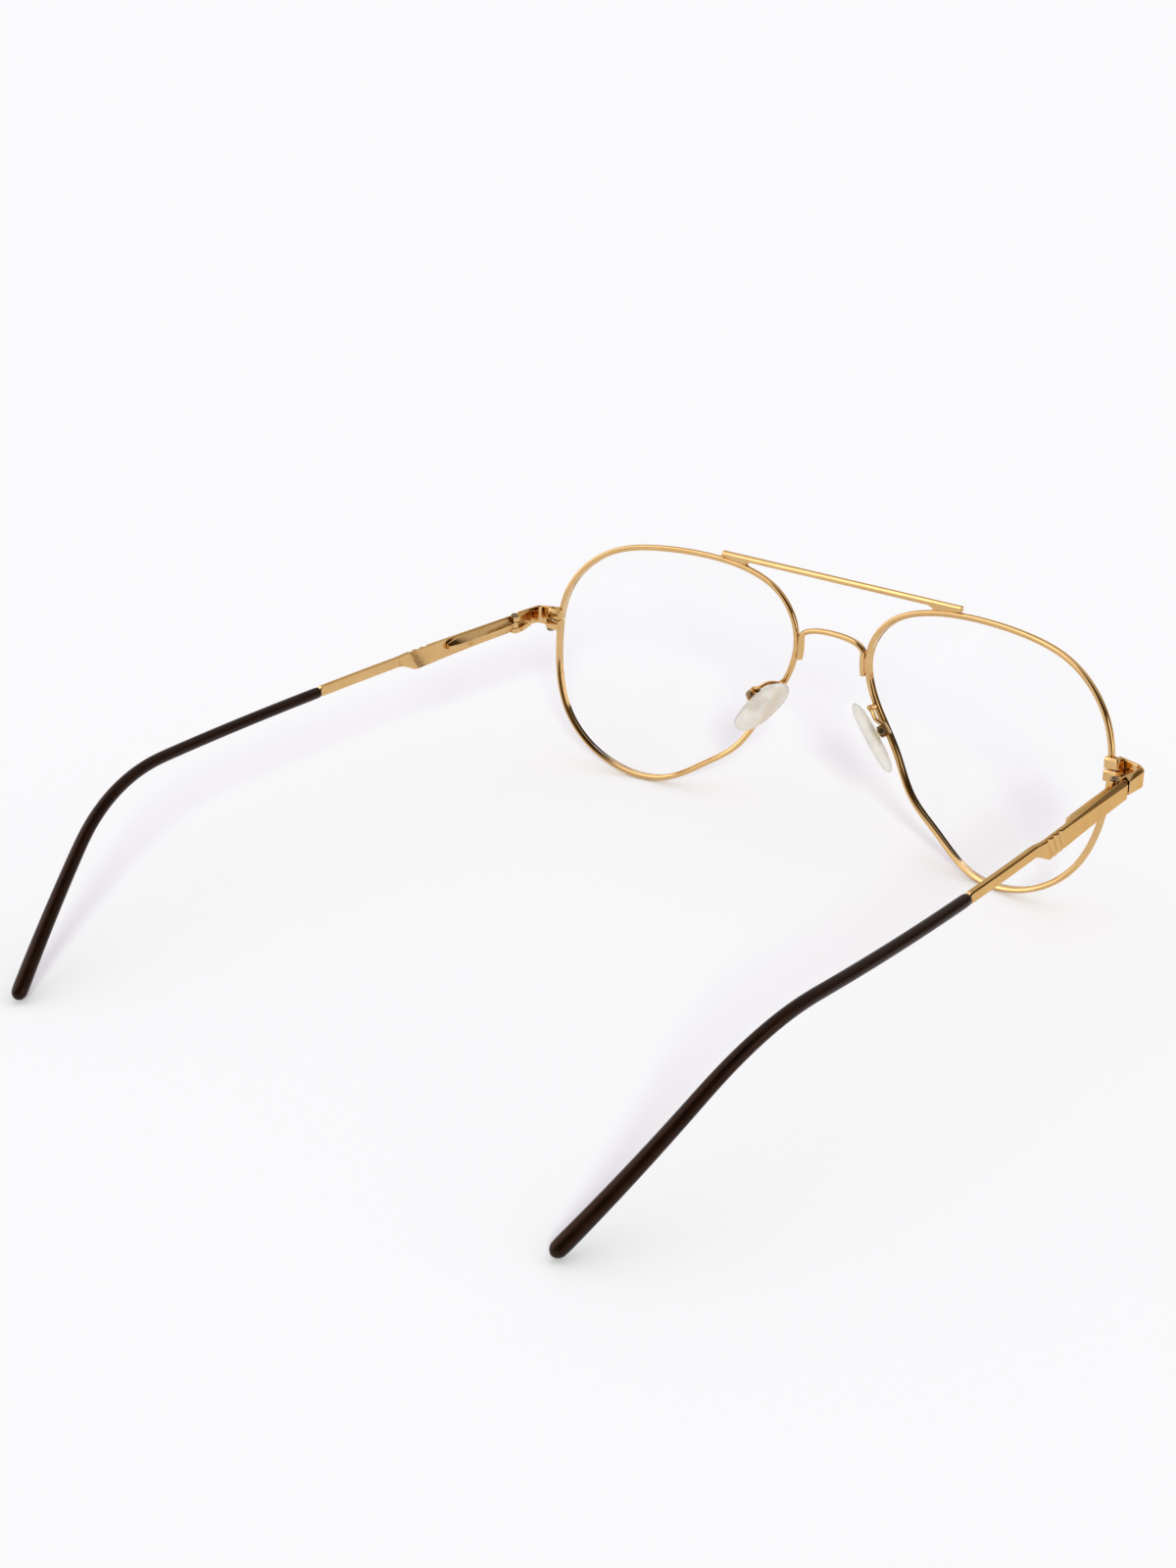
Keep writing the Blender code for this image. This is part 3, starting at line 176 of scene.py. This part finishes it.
def dark_plastic(name):
    """Glossy, very dark brown plastic with faint streaks along it."""
    material, tree, shader = new_material(name, Specular_IOR_Level=0.24,
                                          Specular_Tint=(1.0, 0.52, 0.36, 1))
    streaks = noise(tree, scale=420, detail=4, stretch=(1, 0.25, 1))
    paint(tree, shader, streaks, deep=(0.004, 0.0015, 0.001, 1), pale=(0.010, 0.004, 0.0023, 1),
          start=0.35)
    fine = noise(tree, scale=2600, detail=3)
    roughen(tree, shader, fine, smooth=0.24, rough=0.36)
    bump(tree, shader, fine, strength=0.05, distance=0.03 * MM)
    return material


def silicone(name):
    """Milky silicone that lets light in and half shows what is behind it."""
    material, tree, shader = new_material(name, IOR=1.15, Transmission_Weight=0.5,
                                          Subsurface_Weight=0.85, Subsurface_Scale=3 * MM,
                                          Subsurface_Radius=(1.0, 0.9, 0.8))
    cloud = noise(tree, scale=500, detail=3)
    paint(tree, shader, cloud, deep=(0.775, 0.73, 0.685, 1), pale=(0.84, 0.80, 0.76, 1))
    fine = noise(tree, scale=1200, detail=2)
    roughen(tree, shader, fine, smooth=0.15, rough=0.22)
    bump(tree, shader, fine, strength=0.004, distance=0.02 * MM)
    return material


def lens_plastic(name):
    """Clear optical plastic with the faintest smears in its polish."""
    material, tree, shader = new_material(name, Transmission_Weight=1.0, IOR=1.12,
                                          Specular_IOR_Level=0.3)
    smear = noise(tree, scale=60, detail=2)
    paint(tree, shader, smear, deep=(0.985, 0.985, 0.985, 1), pale=(0.998, 0.998, 0.998, 1))
    roughen(tree, shader, smear, smooth=0.0, rough=0.012)
    return material


def cream_plastic(name):
    """Hard cream plastic, slightly clouded."""
    material, tree, shader = new_material(name)
    cloud = noise(tree, scale=900, detail=3)
    paint(tree, shader, cloud, deep=(0.58, 0.45, 0.30, 1), pale=(0.74, 0.62, 0.46, 1))
    roughen(tree, shader, cloud, smooth=0.25, rough=0.4)
    bump(tree, shader, cloud, strength=0.08, distance=0.04 * MM)
    return material


GOLD = metal("gold_plate", pale=(0.73, 0.475, 0.215, 1), deep=(0.66, 0.42, 0.18, 1),
             smooth=0.06, rough=0.13)
GOLD_SATIN = metal("gold_satin", pale=(0.73, 0.48, 0.22, 1), deep=(0.66, 0.425, 0.185, 1),
                   smooth=0.11, rough=0.2)
SOLDER = metal("gold_solder", pale=(0.74, 0.485, 0.225, 1), deep=(0.65, 0.41, 0.175, 1),
               smooth=0.1, rough=0.2)
STEEL = metal("screw_steel", pale=(0.36, 0.28, 0.20, 1), deep=(0.22, 0.17, 0.115, 1),
              smooth=0.2, rough=0.34)
TIP = dark_plastic("tip_plastic")
SILICONE = silicone("pad_silicone")
LENS = lens_plastic("lens_plastic")
CREAM = cream_plastic("insert_plastic")


# Corners of a CAD mesh closer than WELD become one, and faces within FLAT_ANGLE become one
WELD = 0.002 * MM
FLAT_ANGLE = math.radians(1.0)

# How far two triangles of the tip may differ, in slope and in shape, and still become one face
TIP_SLOPE_ANGLE = math.radians(12)
TIP_SHAPE_ANGLE = math.radians(40)

# Edges sharper than EASED_ANGLE are rounded in EASED_SEGMENTS steps, each piece's by its own width
EASED_ANGLE = math.radians(30)
EASED_SEGMENTS = 2
BRIDGE_EASE = 0.1
BROW_EASE = 0.08
LOCK_EASE = 0.24
STRAP_EASE = 0.04
EARS_EASE = 0.08
CASE_EASE = 0.1


def mirrored(point, side):
    """The point as it is on the left side, or its mirror image on the right."""
    return Vector((point.x * side, point.y, point.z))


def dress(node, material):
    """Give a CAD node a better material in each of its slots."""
    piece = NODES[node]
    if not piece.material_slots:
        piece.data.materials.append(material)
    for slot in piece.material_slots:
        slot.material = material


def finish_mesh(work):
    """The mesh that a bmesh holds."""
    mesh = bpy.data.meshes.new("mesh")
    work.to_mesh(mesh)
    work.free()
    return mesh


def link(name, mesh, material, body, sharp, replaced=()):
    """Put a mesh in the scene, smooth but for its sharp edges, as a piece that rides on a body."""
    mesh.name = name
    mesh.materials.clear()
    mesh.materials.append(material)
    mesh.shade_smooth()
    mesh.set_sharp_from_angle(angle=math.radians(sharp))
    piece = bpy.data.objects.new(name, mesh)
    bpy.context.scene.collection.objects.link(piece)
    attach(piece, body)
    if replaced:
        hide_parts(*replaced)
    return piece


def subdivide(piece):
    """Smooth a piece with one subdivision."""
    smooth = piece.modifiers.new("smooth", "SUBSURF")
    smooth.levels = 1
    smooth.render_levels = 1


def welded(node):
    """A CAD node's shape, with its doubled corners joined."""
    work = bmesh.new()
    work.from_mesh(NODES[node].data)
    bmesh.ops.remove_doubles(work, verts=work.verts, dist=WELD)
    return work


def eased_copy(node, name, material, body, width):
    """A metal CAD node's shape with its edges rounded, in place of the node."""
    work = welded(node)
    bmesh.ops.dissolve_limit(work, angle_limit=FLAT_ANGLE, verts=work.verts, edges=work.edges)
    piece = link(name, finish_mesh(work), material, body, sharp=50,
                 replaced=(node,))
    edge = piece.modifiers.new("eased_edges", "BEVEL")
    edge.width = width * MM
    edge.segments = EASED_SEGMENTS
    edge.limit_method = "ANGLE"
    edge.angle_limit = EASED_ANGLE
    edge.use_clamp_overlap = True
    edge.harden_normals = False


def tip_sleeve(word):
    """The CAD tip's shape with twice as many sides, in place of the node."""
    node = f"temple_tip_{word}"
    work = welded(node)
    bmesh.ops.join_triangles(work, faces=work.faces, angle_face_threshold=TIP_SLOPE_ANGLE,
                             angle_shape_threshold=TIP_SHAPE_ANGLE)
    sleeve = link(f"temple_sleeve_{word}", finish_mesh(work), TIP, f"temple_{word}",
                  sharp=60, replaced=(node,))
    subdivide(sleeve)


def skin(work, rings):
    """Faces from each ring of points to the next; gives back the rings' corners."""
    corners = [[work.verts.new(point) for point in ring] for ring in rings]
    for near, far in zip(corners, corners[1:]):
        for k in range(len(near)):
            n = (k + 1) % len(near)
            work.faces.new((near[k], near[n], far[n], far[k]))
    return corners


def capped_mesh(rings):
    """A closed mesh through rings of points, with a cap at each end."""
    work = bmesh.new()
    corners = skin(work, rings)
    work.faces.new(list(reversed(corners[0])))
    work.faces.new(corners[-1])
    bmesh.ops.recalc_face_normals(work, faces=work.faces)
    return finish_mesh(work)


# The front, with the CAD's own values; the outline's knots and the section's corners are shares
# of half the rim's width and height, and of half its wire's width and depth
RIM_WIDTH = 56.7
RIM_HEIGHT = 49.6
LENS_CENTRE_X = 37.3
LENS_CURVE_RADIUS = 92.5
WRAP = math.radians(6.0)
TILT = math.radians(7.1)
RIM_SHAPE = [
    (0.999, 0.0), (0.934, 0.503), (0.622, 0.859), (0.22, 0.976), (-0.163, 0.999),
    (-0.592, 0.951), (-0.855, 0.811), (-0.995, 0.526), (-0.949, 0.19), (-0.737, -0.222),
    (-0.566, -0.533), (-0.318, -0.754), (-0.009, -0.958), (0.466, -0.939), (0.868, -0.577),
]
RIM_THICK = 1.2
RIM_DEPTH = 1.6
GROOVE_DEPTH = 0.45
LENS_THICK = 1.5
LOCK_Z = 30.5
LOCK_SPLIT = 0.3
RIM_CORNERS = ((-1, 1), (-1, -1), (0.63, 1), (0.63, -1), (1, 0.72), (1, -0.72))

# The finer rim: steps along the wire and for its length, how far before and after a place the
# points lie that give its normal, and the section's steps, roundness and lip
RIM_STEPS = 288
LENGTH_STEPS = 400
NORMAL_STEP = 0.002
SECTION_STEPS = 16
SECTION_POWER = 0.95
LIP = [(-0.35, 0.975), (-0.66, 0.87), (-0.88, 0.72), (-0.98, 0.57), (-0.84, 0.44)]

# The lens: the rings of its faces, its gap to the rim and its eased corner, then its edge's flats
# and bevel as shares of half its thickness and of the groove's depth
LENS_RINGS = 14
LENS_GAP = 0.04
LENS_EASE = 0.05
LENS_SHOULDER = 0.9
BEVEL_FOOT = 0.62
BEVEL_REACH = 0.9

# The search for a place on the rim: its steps, and how far the normal must lean sideways or up
SIDE_STEPS = 2000
SIDE_LEAN = 0.2
TOP_STEPS = 1200
TOP_LEAN = 0.3


def closed_curve(knots):
    """A closed cubic spline through its knots, as a function of 0 to 1."""
    points = np.array(knots + knots[:1])
    spans = np.linalg.norm(np.diff(points, axis=0), axis=1)
    places = np.concatenate([[0], np.cumsum(spans)])
    count = len(knots)
    matrix = np.zeros((count, count))
    target = np.zeros((count, 2))
    for i in range(count):
        before, after = spans[i - 1], spans[i]
        matrix[i, i - 1] += before
        matrix[i, i] += 2 * (before + after)
        matrix[i, (i + 1) % count] += after
        rise_after = (points[i + 1] - points[i]) / after
        rise_before = (points[i] - points[i - 1 if i else count - 1]) / before
        target[i] = 6 * (rise_after - rise_before)
    bends = np.linalg.solve(matrix, target)
    bends = np.vstack([bends, bends[:1]])

    def at(share):
        """The point at a share of the way round."""
        place = (share % 1.0) * places[-1]
        i = min(int(np.searchsorted(places, place, side="right")) - 1, count - 1)
        h = spans[i]
        a = (places[i + 1] - place) / h
        b = (place - places[i]) / h
        curve = a * points[i] + b * points[i + 1]
        return curve + ((a ** 3 - a) * bends[i] + (b ** 3 - b) * bends[i + 1]) * h * h / 6

    return at


RIM_CURVE = closed_curve([(a * RIM_WIDTH / 2, b * RIM_HEIGHT / 2) for a, b in RIM_SHAPE])


def rim_place(share):
    """A point of the rim's centre line in the lens plane, and its outward normal there."""
    run = RIM_CURVE(share + NORMAL_STEP) - RIM_CURVE(share - NORMAL_STEP)
    run = run / np.linalg.norm(run)
    return RIM_CURVE(share), np.array((run[1], -run[0]))


def bent(u, v, w, rise):
    """Lay a point of the lens plane on the lens curve, wrap it, lift it and tilt it."""
    back = (u * u + v * v) / (2 * LENS_CURVE_RADIUS) + w
    x = u * math.cos(WRAP) - back * math.sin(WRAP)
    y = u * math.sin(WRAP) + back * math.cos(WRAP)
    up = v + rise
    return Vector((LENS_CENTRE_X + x,
                   y * math.cos(TILT) - up * math.sin(TILT) - Y_SHIFT,
                   up * math.cos(TILT) + y * math.sin(TILT)))


def on_rim(share, out, w, rise):
    """A point out from the rim's centre line and w behind it, lifted by rise."""
    (u, v), (nu, nv) = rim_place(share)
    return bent(u + out * nu, v + out * nv, w, rise)


# The lift that sets the lowest corner of the CAD's rims on the floor
LOW_POINTS = [on_rim(i / RIM_STEPS, a * RIM_THICK / 2, b * RIM_DEPTH / 2, 0).z
              for i in range(RIM_STEPS) for a, b in RIM_CORNERS]
FRONT_RISE = -min(LOW_POINTS) / math.cos(TILT)


def front_place(share, out, w=0.0):
    """A point beside the left rim's centre line, in metres."""
    return on_rim(share, out, w, FRONT_RISE) * MM


def nearest_share(steps, fits, miss):
    """The place on the rim that misses least, of those whose outward normal fits."""
    shares = [i / steps for i in range(steps)]
    return min((miss(share), share) for share in shares if fits(rim_place(share)[1]))[1]


def share_at(height, inner):
    """Where the rim's centre line passes a height, on its inner or its outer side."""
    return nearest_share(
        SIDE_STEPS,
        lambda normal: (normal[0] < 0) == inner and abs(normal[0]) >= SIDE_LEAN,
        lambda share: abs(front_place(share, 0).z / MM - height))


def top_share(x):
    """The place on top of the rim at a distance from the middle of the glasses."""
    return nearest_share(
        TOP_STEPS,
        lambda normal: normal[1] >= TOP_LEAN,
        lambda share: abs(front_place(share, RIM_THICK / 2).x / MM - x))


LOCK_SHARE = share_at(LOCK_Z, inner=False)


def rim_section():
    """The wire's section: round outside, with two rounded lips beside the lens groove."""
    half = RIM_THICK / 2
    deep = RIM_DEPTH / 2
    points = []
    for i in range(SECTION_STEPS + 1):
        turn = math.pi * (i / SECTION_STEPS - 0.5)
        c, s = math.cos(turn), math.sin(turn)
        points.append((half * abs(c) ** SECTION_POWER, deep * s))
    points += [(a * half, b * deep) for a, b in LIP]
    points.append((GROOVE_DEPTH - half, 0))
    points += [(a * half, -b * deep) for a, b in reversed(LIP)]
    return points


def rim_wire(side, word):
    """The whole rim, from one side of the lock's split round to the other."""
    section = rim_section()
    knots = [RIM_CURVE(i / LENGTH_STEPS) for i in range(LENGTH_STEPS + 1)]
    gap = LOCK_SPLIT / sum(np.linalg.norm(b - a) for a, b in zip(knots, knots[1:]))
    rings = []
    for i in range(RIM_STEPS + 1):
        share = LOCK_SHARE + gap / 2 + (1 - gap) * i / RIM_STEPS
        rings.append([mirrored(front_place(share, out, w), side) for out, w in section])
    link(f"rim_wire_{word}", capped_mesh(rings), GOLD, "front", sharp=40,
         replaced=(f"rim_{word}",))


def clear_lens(side, word):
    """The lens: two parallel curved faces and a bevelled edge that stands in the groove."""
    half = LENS_THICK / 2
    flat = -RIM_THICK / 2 - LENS_GAP
    brim = flat - LENS_EASE
    behind = [(flat, half * BEVEL_FOOT), (flat, half * LENS_SHOULDER), (brim, half)]
    before = [(out, -w) for out, w in reversed(behind)]
    edge = before + [(flat + GROOVE_DEPTH * BEVEL_REACH, 0)] + behind
    steps = RIM_STEPS // 2

    def face_ring(size, w):
        """A ring of points on a face, the size of its outline being 1."""
        ring = []
        for i in range(steps):
            (u, v), (nu, nv) = rim_place(LOCK_SHARE + i / steps)
            point = bent((u + brim * nu) * size, (v + brim * nv) * size, w, FRONT_RISE)
            ring.append(mirrored(point * MM, side))
        return ring

    rings = [face_ring(k / LENS_RINGS, -half) for k in range(1, LENS_RINGS)]
    for out, w in edge:
        rings.append([mirrored(front_place(LOCK_SHARE + i / steps, out, w), side)
                      for i in range(steps)])
    rings += [face_ring(k / LENS_RINGS, half) for k in range(LENS_RINGS - 1, 0, -1)]
    lens = link(f"lens_clear_{word}", capped_mesh(rings), LENS, "front", sharp=25,
                replaced=(f"lens_{word}",))
    lens.visible_shadow = False
    lens.visible_diffuse = False
    lens.visible_glossy = False


# Where the CAD has the bridge, the brow bar and the pad arm on the rim
BRIDGE_FOOT = 33.3
BRIDGE_SPRING_LINE = 37.4
BROW_HALF_LENGTH = 28.0
BROW_FOOT_LENGTH = 5.6
PAD_ARM_RISE = 27.5
SEAM = 0.06

# Beads of solder: sides, steps along the rim, and the thin ends as a share of the widest radius;
# a bead that starts steeper than STEEP takes its first side direction from X instead of Z
BEAD_SIDES = 14
BEAD_STEPS = 14
BEAD_END = 0.3
STEEP = 0.9

# The widest radii, how far the brow bar's bead stops short of the bar's end and passes its foot,
# and the pad arm's bead: how far out it stands, and its radius at each place behind the rim
BRIDGE_BEAD = 0.52
BROW_BEAD = 0.5
BROW_BEAD_SHORT = 0.3
BROW_BEAD_PAST = 0.8
ARM_BEAD_OUT = 0.1
ARM_BEAD = [(-0.25, 0.5), (0.0, 0.66), (0.25, 0.62), (0.55, 0.52), (0.85, 0.44)]


def bead(name, side, path, radii):
    """A bead of solder: a closed round tube along a path, with a radius at each point."""
    path = [mirrored(point, side) for point in path]
    rings = []
    across = None
    for i, point in enumerate(path):
        heading = (path[min(i + 1, len(path) - 1)] - path[max(i - 1, 0)]).normalized()
        if across is None:
            helper = Vector((0, 0, 1)) if abs(heading.z) < STEEP else Vector((1, 0, 0))
            across = heading.cross(helper).normalized()
        across = (across - heading * across.dot(heading)).normalized()
        along = heading.cross(across)
        ring = []
        for k in range(BEAD_SIDES):
            turn = 2 * math.pi * k / BEAD_SIDES
            ring.append(point + (across * math.cos(turn) + along * math.sin(turn)) * radii[i])
        rings.append(ring)
    link(name, capped_mesh(rings), SOLDER, "front", sharp=60)


def bead_on_rim(name, side, start, end, widest):
    """A bead beside the rim, widest in its middle and thin at both ends."""
    beside = RIM_THICK / 2 + SEAM
    path = []
    radii = []
    for i in range(BEAD_STEPS + 1):
        path.append(front_place(start + (end - start) * i / BEAD_STEPS, beside))
        swell = math.sin(math.pi * i / BEAD_STEPS) ** 0.5
        radii.append(widest * MM * (BEAD_END + (1 - BEAD_END) * swell))
    bead(name, side, path, radii)


def solder_joints(side, word):
    """Beads where the bridge, the brow bar and the pad arm meet the rim."""
    foot = share_at(BRIDGE_FOOT, inner=True)
    spring = share_at(BRIDGE_SPRING_LINE, inner=True)
    bead_on_rim(f"solder_bridge_{word}", side, foot, spring, BRIDGE_BEAD)
    end = top_share(BROW_HALF_LENGTH - BROW_BEAD_SHORT)
    begin = top_share(BROW_HALF_LENGTH - BROW_FOOT_LENGTH - BROW_BEAD_PAST)
    bead_on_rim(f"solder_brow_{word}", side, begin, end, BROW_BEAD)
    root = share_at(PAD_ARM_RISE, inner=True)
    path = [front_place(root, ARM_BEAD_OUT, RIM_DEPTH / 2 + back) for back, _ in ARM_BEAD]
    bead(f"solder_arm_{word}", side, path, [radius * MM for _, radius in ARM_BEAD])


# Nose pads, with the place and turn that the CAD gives them
PAD_CENTRE = Vector((13.37, 2.23 - Y_SHIFT, 22.85)) * MM
PAD_SPLAY = math.radians(40.1)
PAD_LEAN = math.radians(3.9)
PAD_TURN = math.radians(30.5)
PAD_LENGTH = 15.4 * MM
PAD_WIDTH = 7.1 * MM
PAD_ALONG = Vector((math.sin(PAD_SPLAY) * math.cos(PAD_LEAN), math.sin(PAD_LEAN),
                    -math.cos(PAD_SPLAY) * math.cos(PAD_LEAN)))
PAD_LEVEL = (Vector((0, 1, 0)) - PAD_ALONG * PAD_ALONG.y).normalized()
PAD_ACROSS = PAD_LEVEL * math.cos(PAD_TURN) + PAD_ALONG.cross(PAD_LEVEL) * math.sin(PAD_TURN)
PAD_OUT = PAD_ALONG.cross(PAD_ACROSS)

# The pad's section, from the middle of its back round to the middle of the face that the nose
# touches: share of its outline, and height
PAD_PROFILE = [(0.0, 1.14), (0.25, 1.14), (0.46, 1.11), (0.68, 0.98), (0.86, 0.68), (0.96, 0.3),
               (1.0, -0.05), (0.995, -0.4), (0.95, -0.78), (0.82, -1.1), (0.58, -1.3),
               (0.3, -1.35), (0.0, -1.36)]
PAD_SIDES = 48
PAD_POWER = 0.85


def nose_pad(side, word):
    """The soft pad: a rounded, crowned lozenge."""

    def place(along, across, out):
        """A point in the pad's own directions."""
        return mirrored(PAD_CENTRE + PAD_ALONG * along + PAD_ACROSS * across + PAD_OUT * out, side)

    rings = []
    for share, out in PAD_PROFILE[1:-1]:
        ring = []
        for i in range(PAD_SIDES):
            turn = 2 * math.pi * i / PAD_SIDES
            c, s = math.cos(turn), math.sin(turn)
            along = math.copysign(abs(c) ** PAD_POWER, c) * PAD_LENGTH / 2 * share
            across = math.copysign(abs(s) ** PAD_POWER, s) * PAD_WIDTH / 2 * share
            ring.append(place(along, across, out * MM))
        rings.append(ring)
    work = bmesh.new()
    corners = skin(work, rings)
    for ring, (_, out) in ((corners[0], PAD_PROFILE[0]), (corners[-1], PAD_PROFILE[-1])):
        middle = work.verts.new(place(0, 0, out * MM))
        for k in range(PAD_SIDES):
            work.faces.new((middle, ring[k], ring[(k + 1) % PAD_SIDES]))
    bmesh.ops.recalc_face_normals(work, faces=work.faces)
    pad = link(f"silicone_pad_{word}", finish_mesh(work), SILICONE, f"pad_{word}",
               sharp=180, replaced=(f"nose_pad_{word}",))
    subdivide(pad)


def spring_coil(word):
    """The coil spring, which on the real glasses shortens towards the rod's head as the temple is
    pulled; here a fixed copy of the CAD's mesh that rides on the slider.
    """
    mesh = NODES[f"hinge_spring_{word}"].data.copy()
    coil = link(f"spring_coil_{word}", mesh, STEEL, f"slider_{word}", sharp=60,
                replaced=(f"hinge_spring_{word}",))
    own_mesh(coil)


def dress_all():
    """Dress or replace every node of the CAD."""
    eased_copy("bridge", "bridge_wire", GOLD, "front", BRIDGE_EASE)
    eased_copy("brow_bar", "brow_bar_wire", GOLD, "front", BROW_EASE)
    for side, word in SIDES:
        rim_wire(side, word)
        clear_lens(side, word)
        solder_joints(side, word)
        for node in ("rim_lock_upper", "rim_lock_lower"):
            eased_copy(f"{node}_{word}", f"{node}_block_{word}", GOLD, "front", LOCK_EASE)
        eased_copy(f"end_piece_{word}", f"end_strap_{word}", GOLD, "front", STRAP_EASE)
        eased_copy(f"hinge_leaf_{word}", f"hinge_ears_{word}", GOLD_SATIN, "front", EARS_EASE)
        eased_copy(f"spring_box_{word}", f"spring_case_{word}", GOLD_SATIN, f"temple_{word}",
                   CASE_EASE)
        for node in ("rim_lock_screw", "hinge_screw", "retaining_bush", "bush_pin", "pad_screw"):
            dress(f"{node}_{word}", STEEL)
        spring_coil(word)
        dress(f"hinge_slider_{word}", GOLD_SATIN)
        dress(f"temple_plate_{word}", GOLD)
        tip_sleeve(word)
        dress(f"pad_arm_{word}", GOLD_SATIN)
        dress(f"pad_insert_{word}", CREAM)
        nose_pad(side, word)


FLOOR_HALF = 9000 * MM
FLOOR_COLOUR = (0.93, 0.92, 0.938, 1)
BACKDROP = (0.956, 0.944, 0.964, 1)
FILL = (0.845, 0.81, 0.85, 1)

# The room that glossy surfaces reflect: colours by place on a turn round the glasses, where
# 0 is towards -X, 0.25 towards -Y, 0.5 towards +X and 0.75 towards +Y
WINDOW = (2.3, 2.25, 2.2, 1)
BRIGHT = (1.27, 1.25, 1.26, 1)
MIDDLE = (0.68, 0.66, 0.65, 1)
DIM = (0.38, 0.33, 0.25, 1)
SHADE = (0.15, 0.11, 0.055, 1)
DARK = (0.04, 0.025, 0.01, 1)
LOW_WALL = [
    (0.0, BRIGHT), (0.02, BRIGHT), (0.03, WINDOW), (0.055, WINDOW), (0.07, BRIGHT), (0.09, SHADE),
    (0.18, SHADE), (0.25, MIDDLE), (0.40, MIDDLE), (0.47, BRIGHT), (0.55, BRIGHT), (0.57, WINDOW),
    (0.62, WINDOW), (0.64, BRIGHT), (0.67, BRIGHT), (0.72, DIM), (0.76, SHADE), (0.95, SHADE),
    (0.98, BRIGHT),
]
HIGH_WALL = [
    (0.0, DARK), (0.07, DARK), (0.10, MIDDLE), (0.42, MIDDLE), (0.47, BRIGHT), (0.55, BRIGHT),
    (0.57, WINDOW), (0.62, WINDOW), (0.64, BRIGHT), (0.72, BRIGHT), (0.77, DARK), (1.0, DARK),
]

# Where the low wall turns into the high one, as the rise of a line of sight of length 1
WALL_TOP = 0.5
WALL_BLEND = 0.03

# One soft lamp: what it adds to the floor's light, its width, its height and its heading
SUN_SHARE = (0.185, 0.22, 0.18)
SUN_ANGLE = math.radians(10)
SUN_HEIGHT = math.radians(26)
SUN_HEADING = math.radians(131)


def make_floor():
    """A plain white floor."""
    mesh = bpy.data.meshes.new("floor")
    h = FLOOR_HALF
    mesh.from_pydata([(-h, -h, 0), (h, -h, 0), (h, h, 0), (-h, h, 0)], [], [(0, 1, 2, 3)])
    floor = bpy.data.objects.new("floor", mesh)
    bpy.context.scene.collection.objects.link(floor)
    material = new_material("white_floor", Base_Color=FLOOR_COLOUR, Roughness=0.9,
                            Specular_IOR_Level=0.0)[0]
    mesh.materials.append(material)


def make_world():
    """A white backdrop for the camera and through lenses, a plain fill, and the room to reflect."""
    world = bpy.data.worlds.new("studio")
    bpy.context.scene.world = world
    world.use_nodes = True
    tree = world.node_tree
    tree.nodes.clear()
    out = add_node(tree, "ShaderNodeOutputWorld")
    rays = add_node(tree, "ShaderNodeLightPath")

    place = add_node(tree, "ShaderNodeTexCoord")
    around = add_node(tree, "ShaderNodeTexGradient", gradient_type="RADIAL")
    tree.links.new(place.outputs["Generated"], around.inputs["Vector"])
    split = add_node(tree, "ShaderNodeSeparateXYZ")
    tree.links.new(place.outputs["Generated"], split.inputs["Vector"])
    height = add_node(tree, "ShaderNodeMapRange", From_Min=WALL_TOP - WALL_BLEND,
                      From_Max=WALL_TOP + WALL_BLEND)
    tree.links.new(split.outputs["Z"], height.inputs["Value"])
    walls = add_node(tree, "ShaderNodeMixRGB")
    tree.links.new(height.outputs["Result"], walls.inputs["Fac"])
    tree.links.new(ramp(tree, around.outputs["Fac"], LOW_WALL), walls.inputs["Color1"])
    tree.links.new(ramp(tree, around.outputs["Fac"], HIGH_WALL), walls.inputs["Color2"])
    room = add_node(tree, "ShaderNodeBackground")
    tree.links.new(walls.outputs["Color"], room.inputs["Color"])

    fill = add_node(tree, "ShaderNodeBackground", Color=FILL)
    light = add_node(tree, "ShaderNodeMixShader")
    tree.links.new(rays.outputs["Is Glossy Ray"], light.inputs["Fac"])
    tree.links.new(fill.outputs["Background"], light.inputs[1])
    tree.links.new(room.outputs["Background"], light.inputs[2])

    backdrop = add_node(tree, "ShaderNodeBackground", Color=BACKDROP)
    seen = add_node(tree, "ShaderNodeMath", operation="MAXIMUM")
    tree.links.new(rays.outputs["Is Camera Ray"], seen.inputs[0])
    tree.links.new(rays.outputs["Is Transmission Ray"], seen.inputs[1])
    final = add_node(tree, "ShaderNodeMixShader")
    tree.links.new(seen.outputs["Value"], final.inputs["Fac"])
    tree.links.new(light.outputs["Shader"], final.inputs[1])
    tree.links.new(backdrop.outputs["Background"], final.inputs[2])
    tree.links.new(final.outputs["Shader"], out.inputs["Surface"])


def make_sun():
    """The soft lamp, from behind the camera; glossy surfaces don't mirror it."""
    data = bpy.data.lights.new("sun", "SUN")
    strongest = max(SUN_SHARE)
    data.color = [c / strongest for c in SUN_SHARE]
    data.energy = strongest * math.pi / math.sin(SUN_HEIGHT)
    data.angle = SUN_ANGLE
    sun = bpy.data.objects.new("sun", data)
    sun.visible_glossy = False
    bpy.context.scene.collection.objects.link(sun)
    towards = Vector((math.cos(SUN_HEADING) * math.cos(SUN_HEIGHT),
                      math.sin(SUN_HEADING) * math.cos(SUN_HEIGHT),
                      math.sin(SUN_HEIGHT)))
    sun.rotation_mode = "QUATERNION"
    sun.rotation_quaternion = towards.to_track_quat("Z", "Y")


make_camera()
make_floor()
make_world()
make_sun()
dress_all()
bpy.context.scene.view_settings.view_transform = "Standard"

bpy.context.view_layer.update()
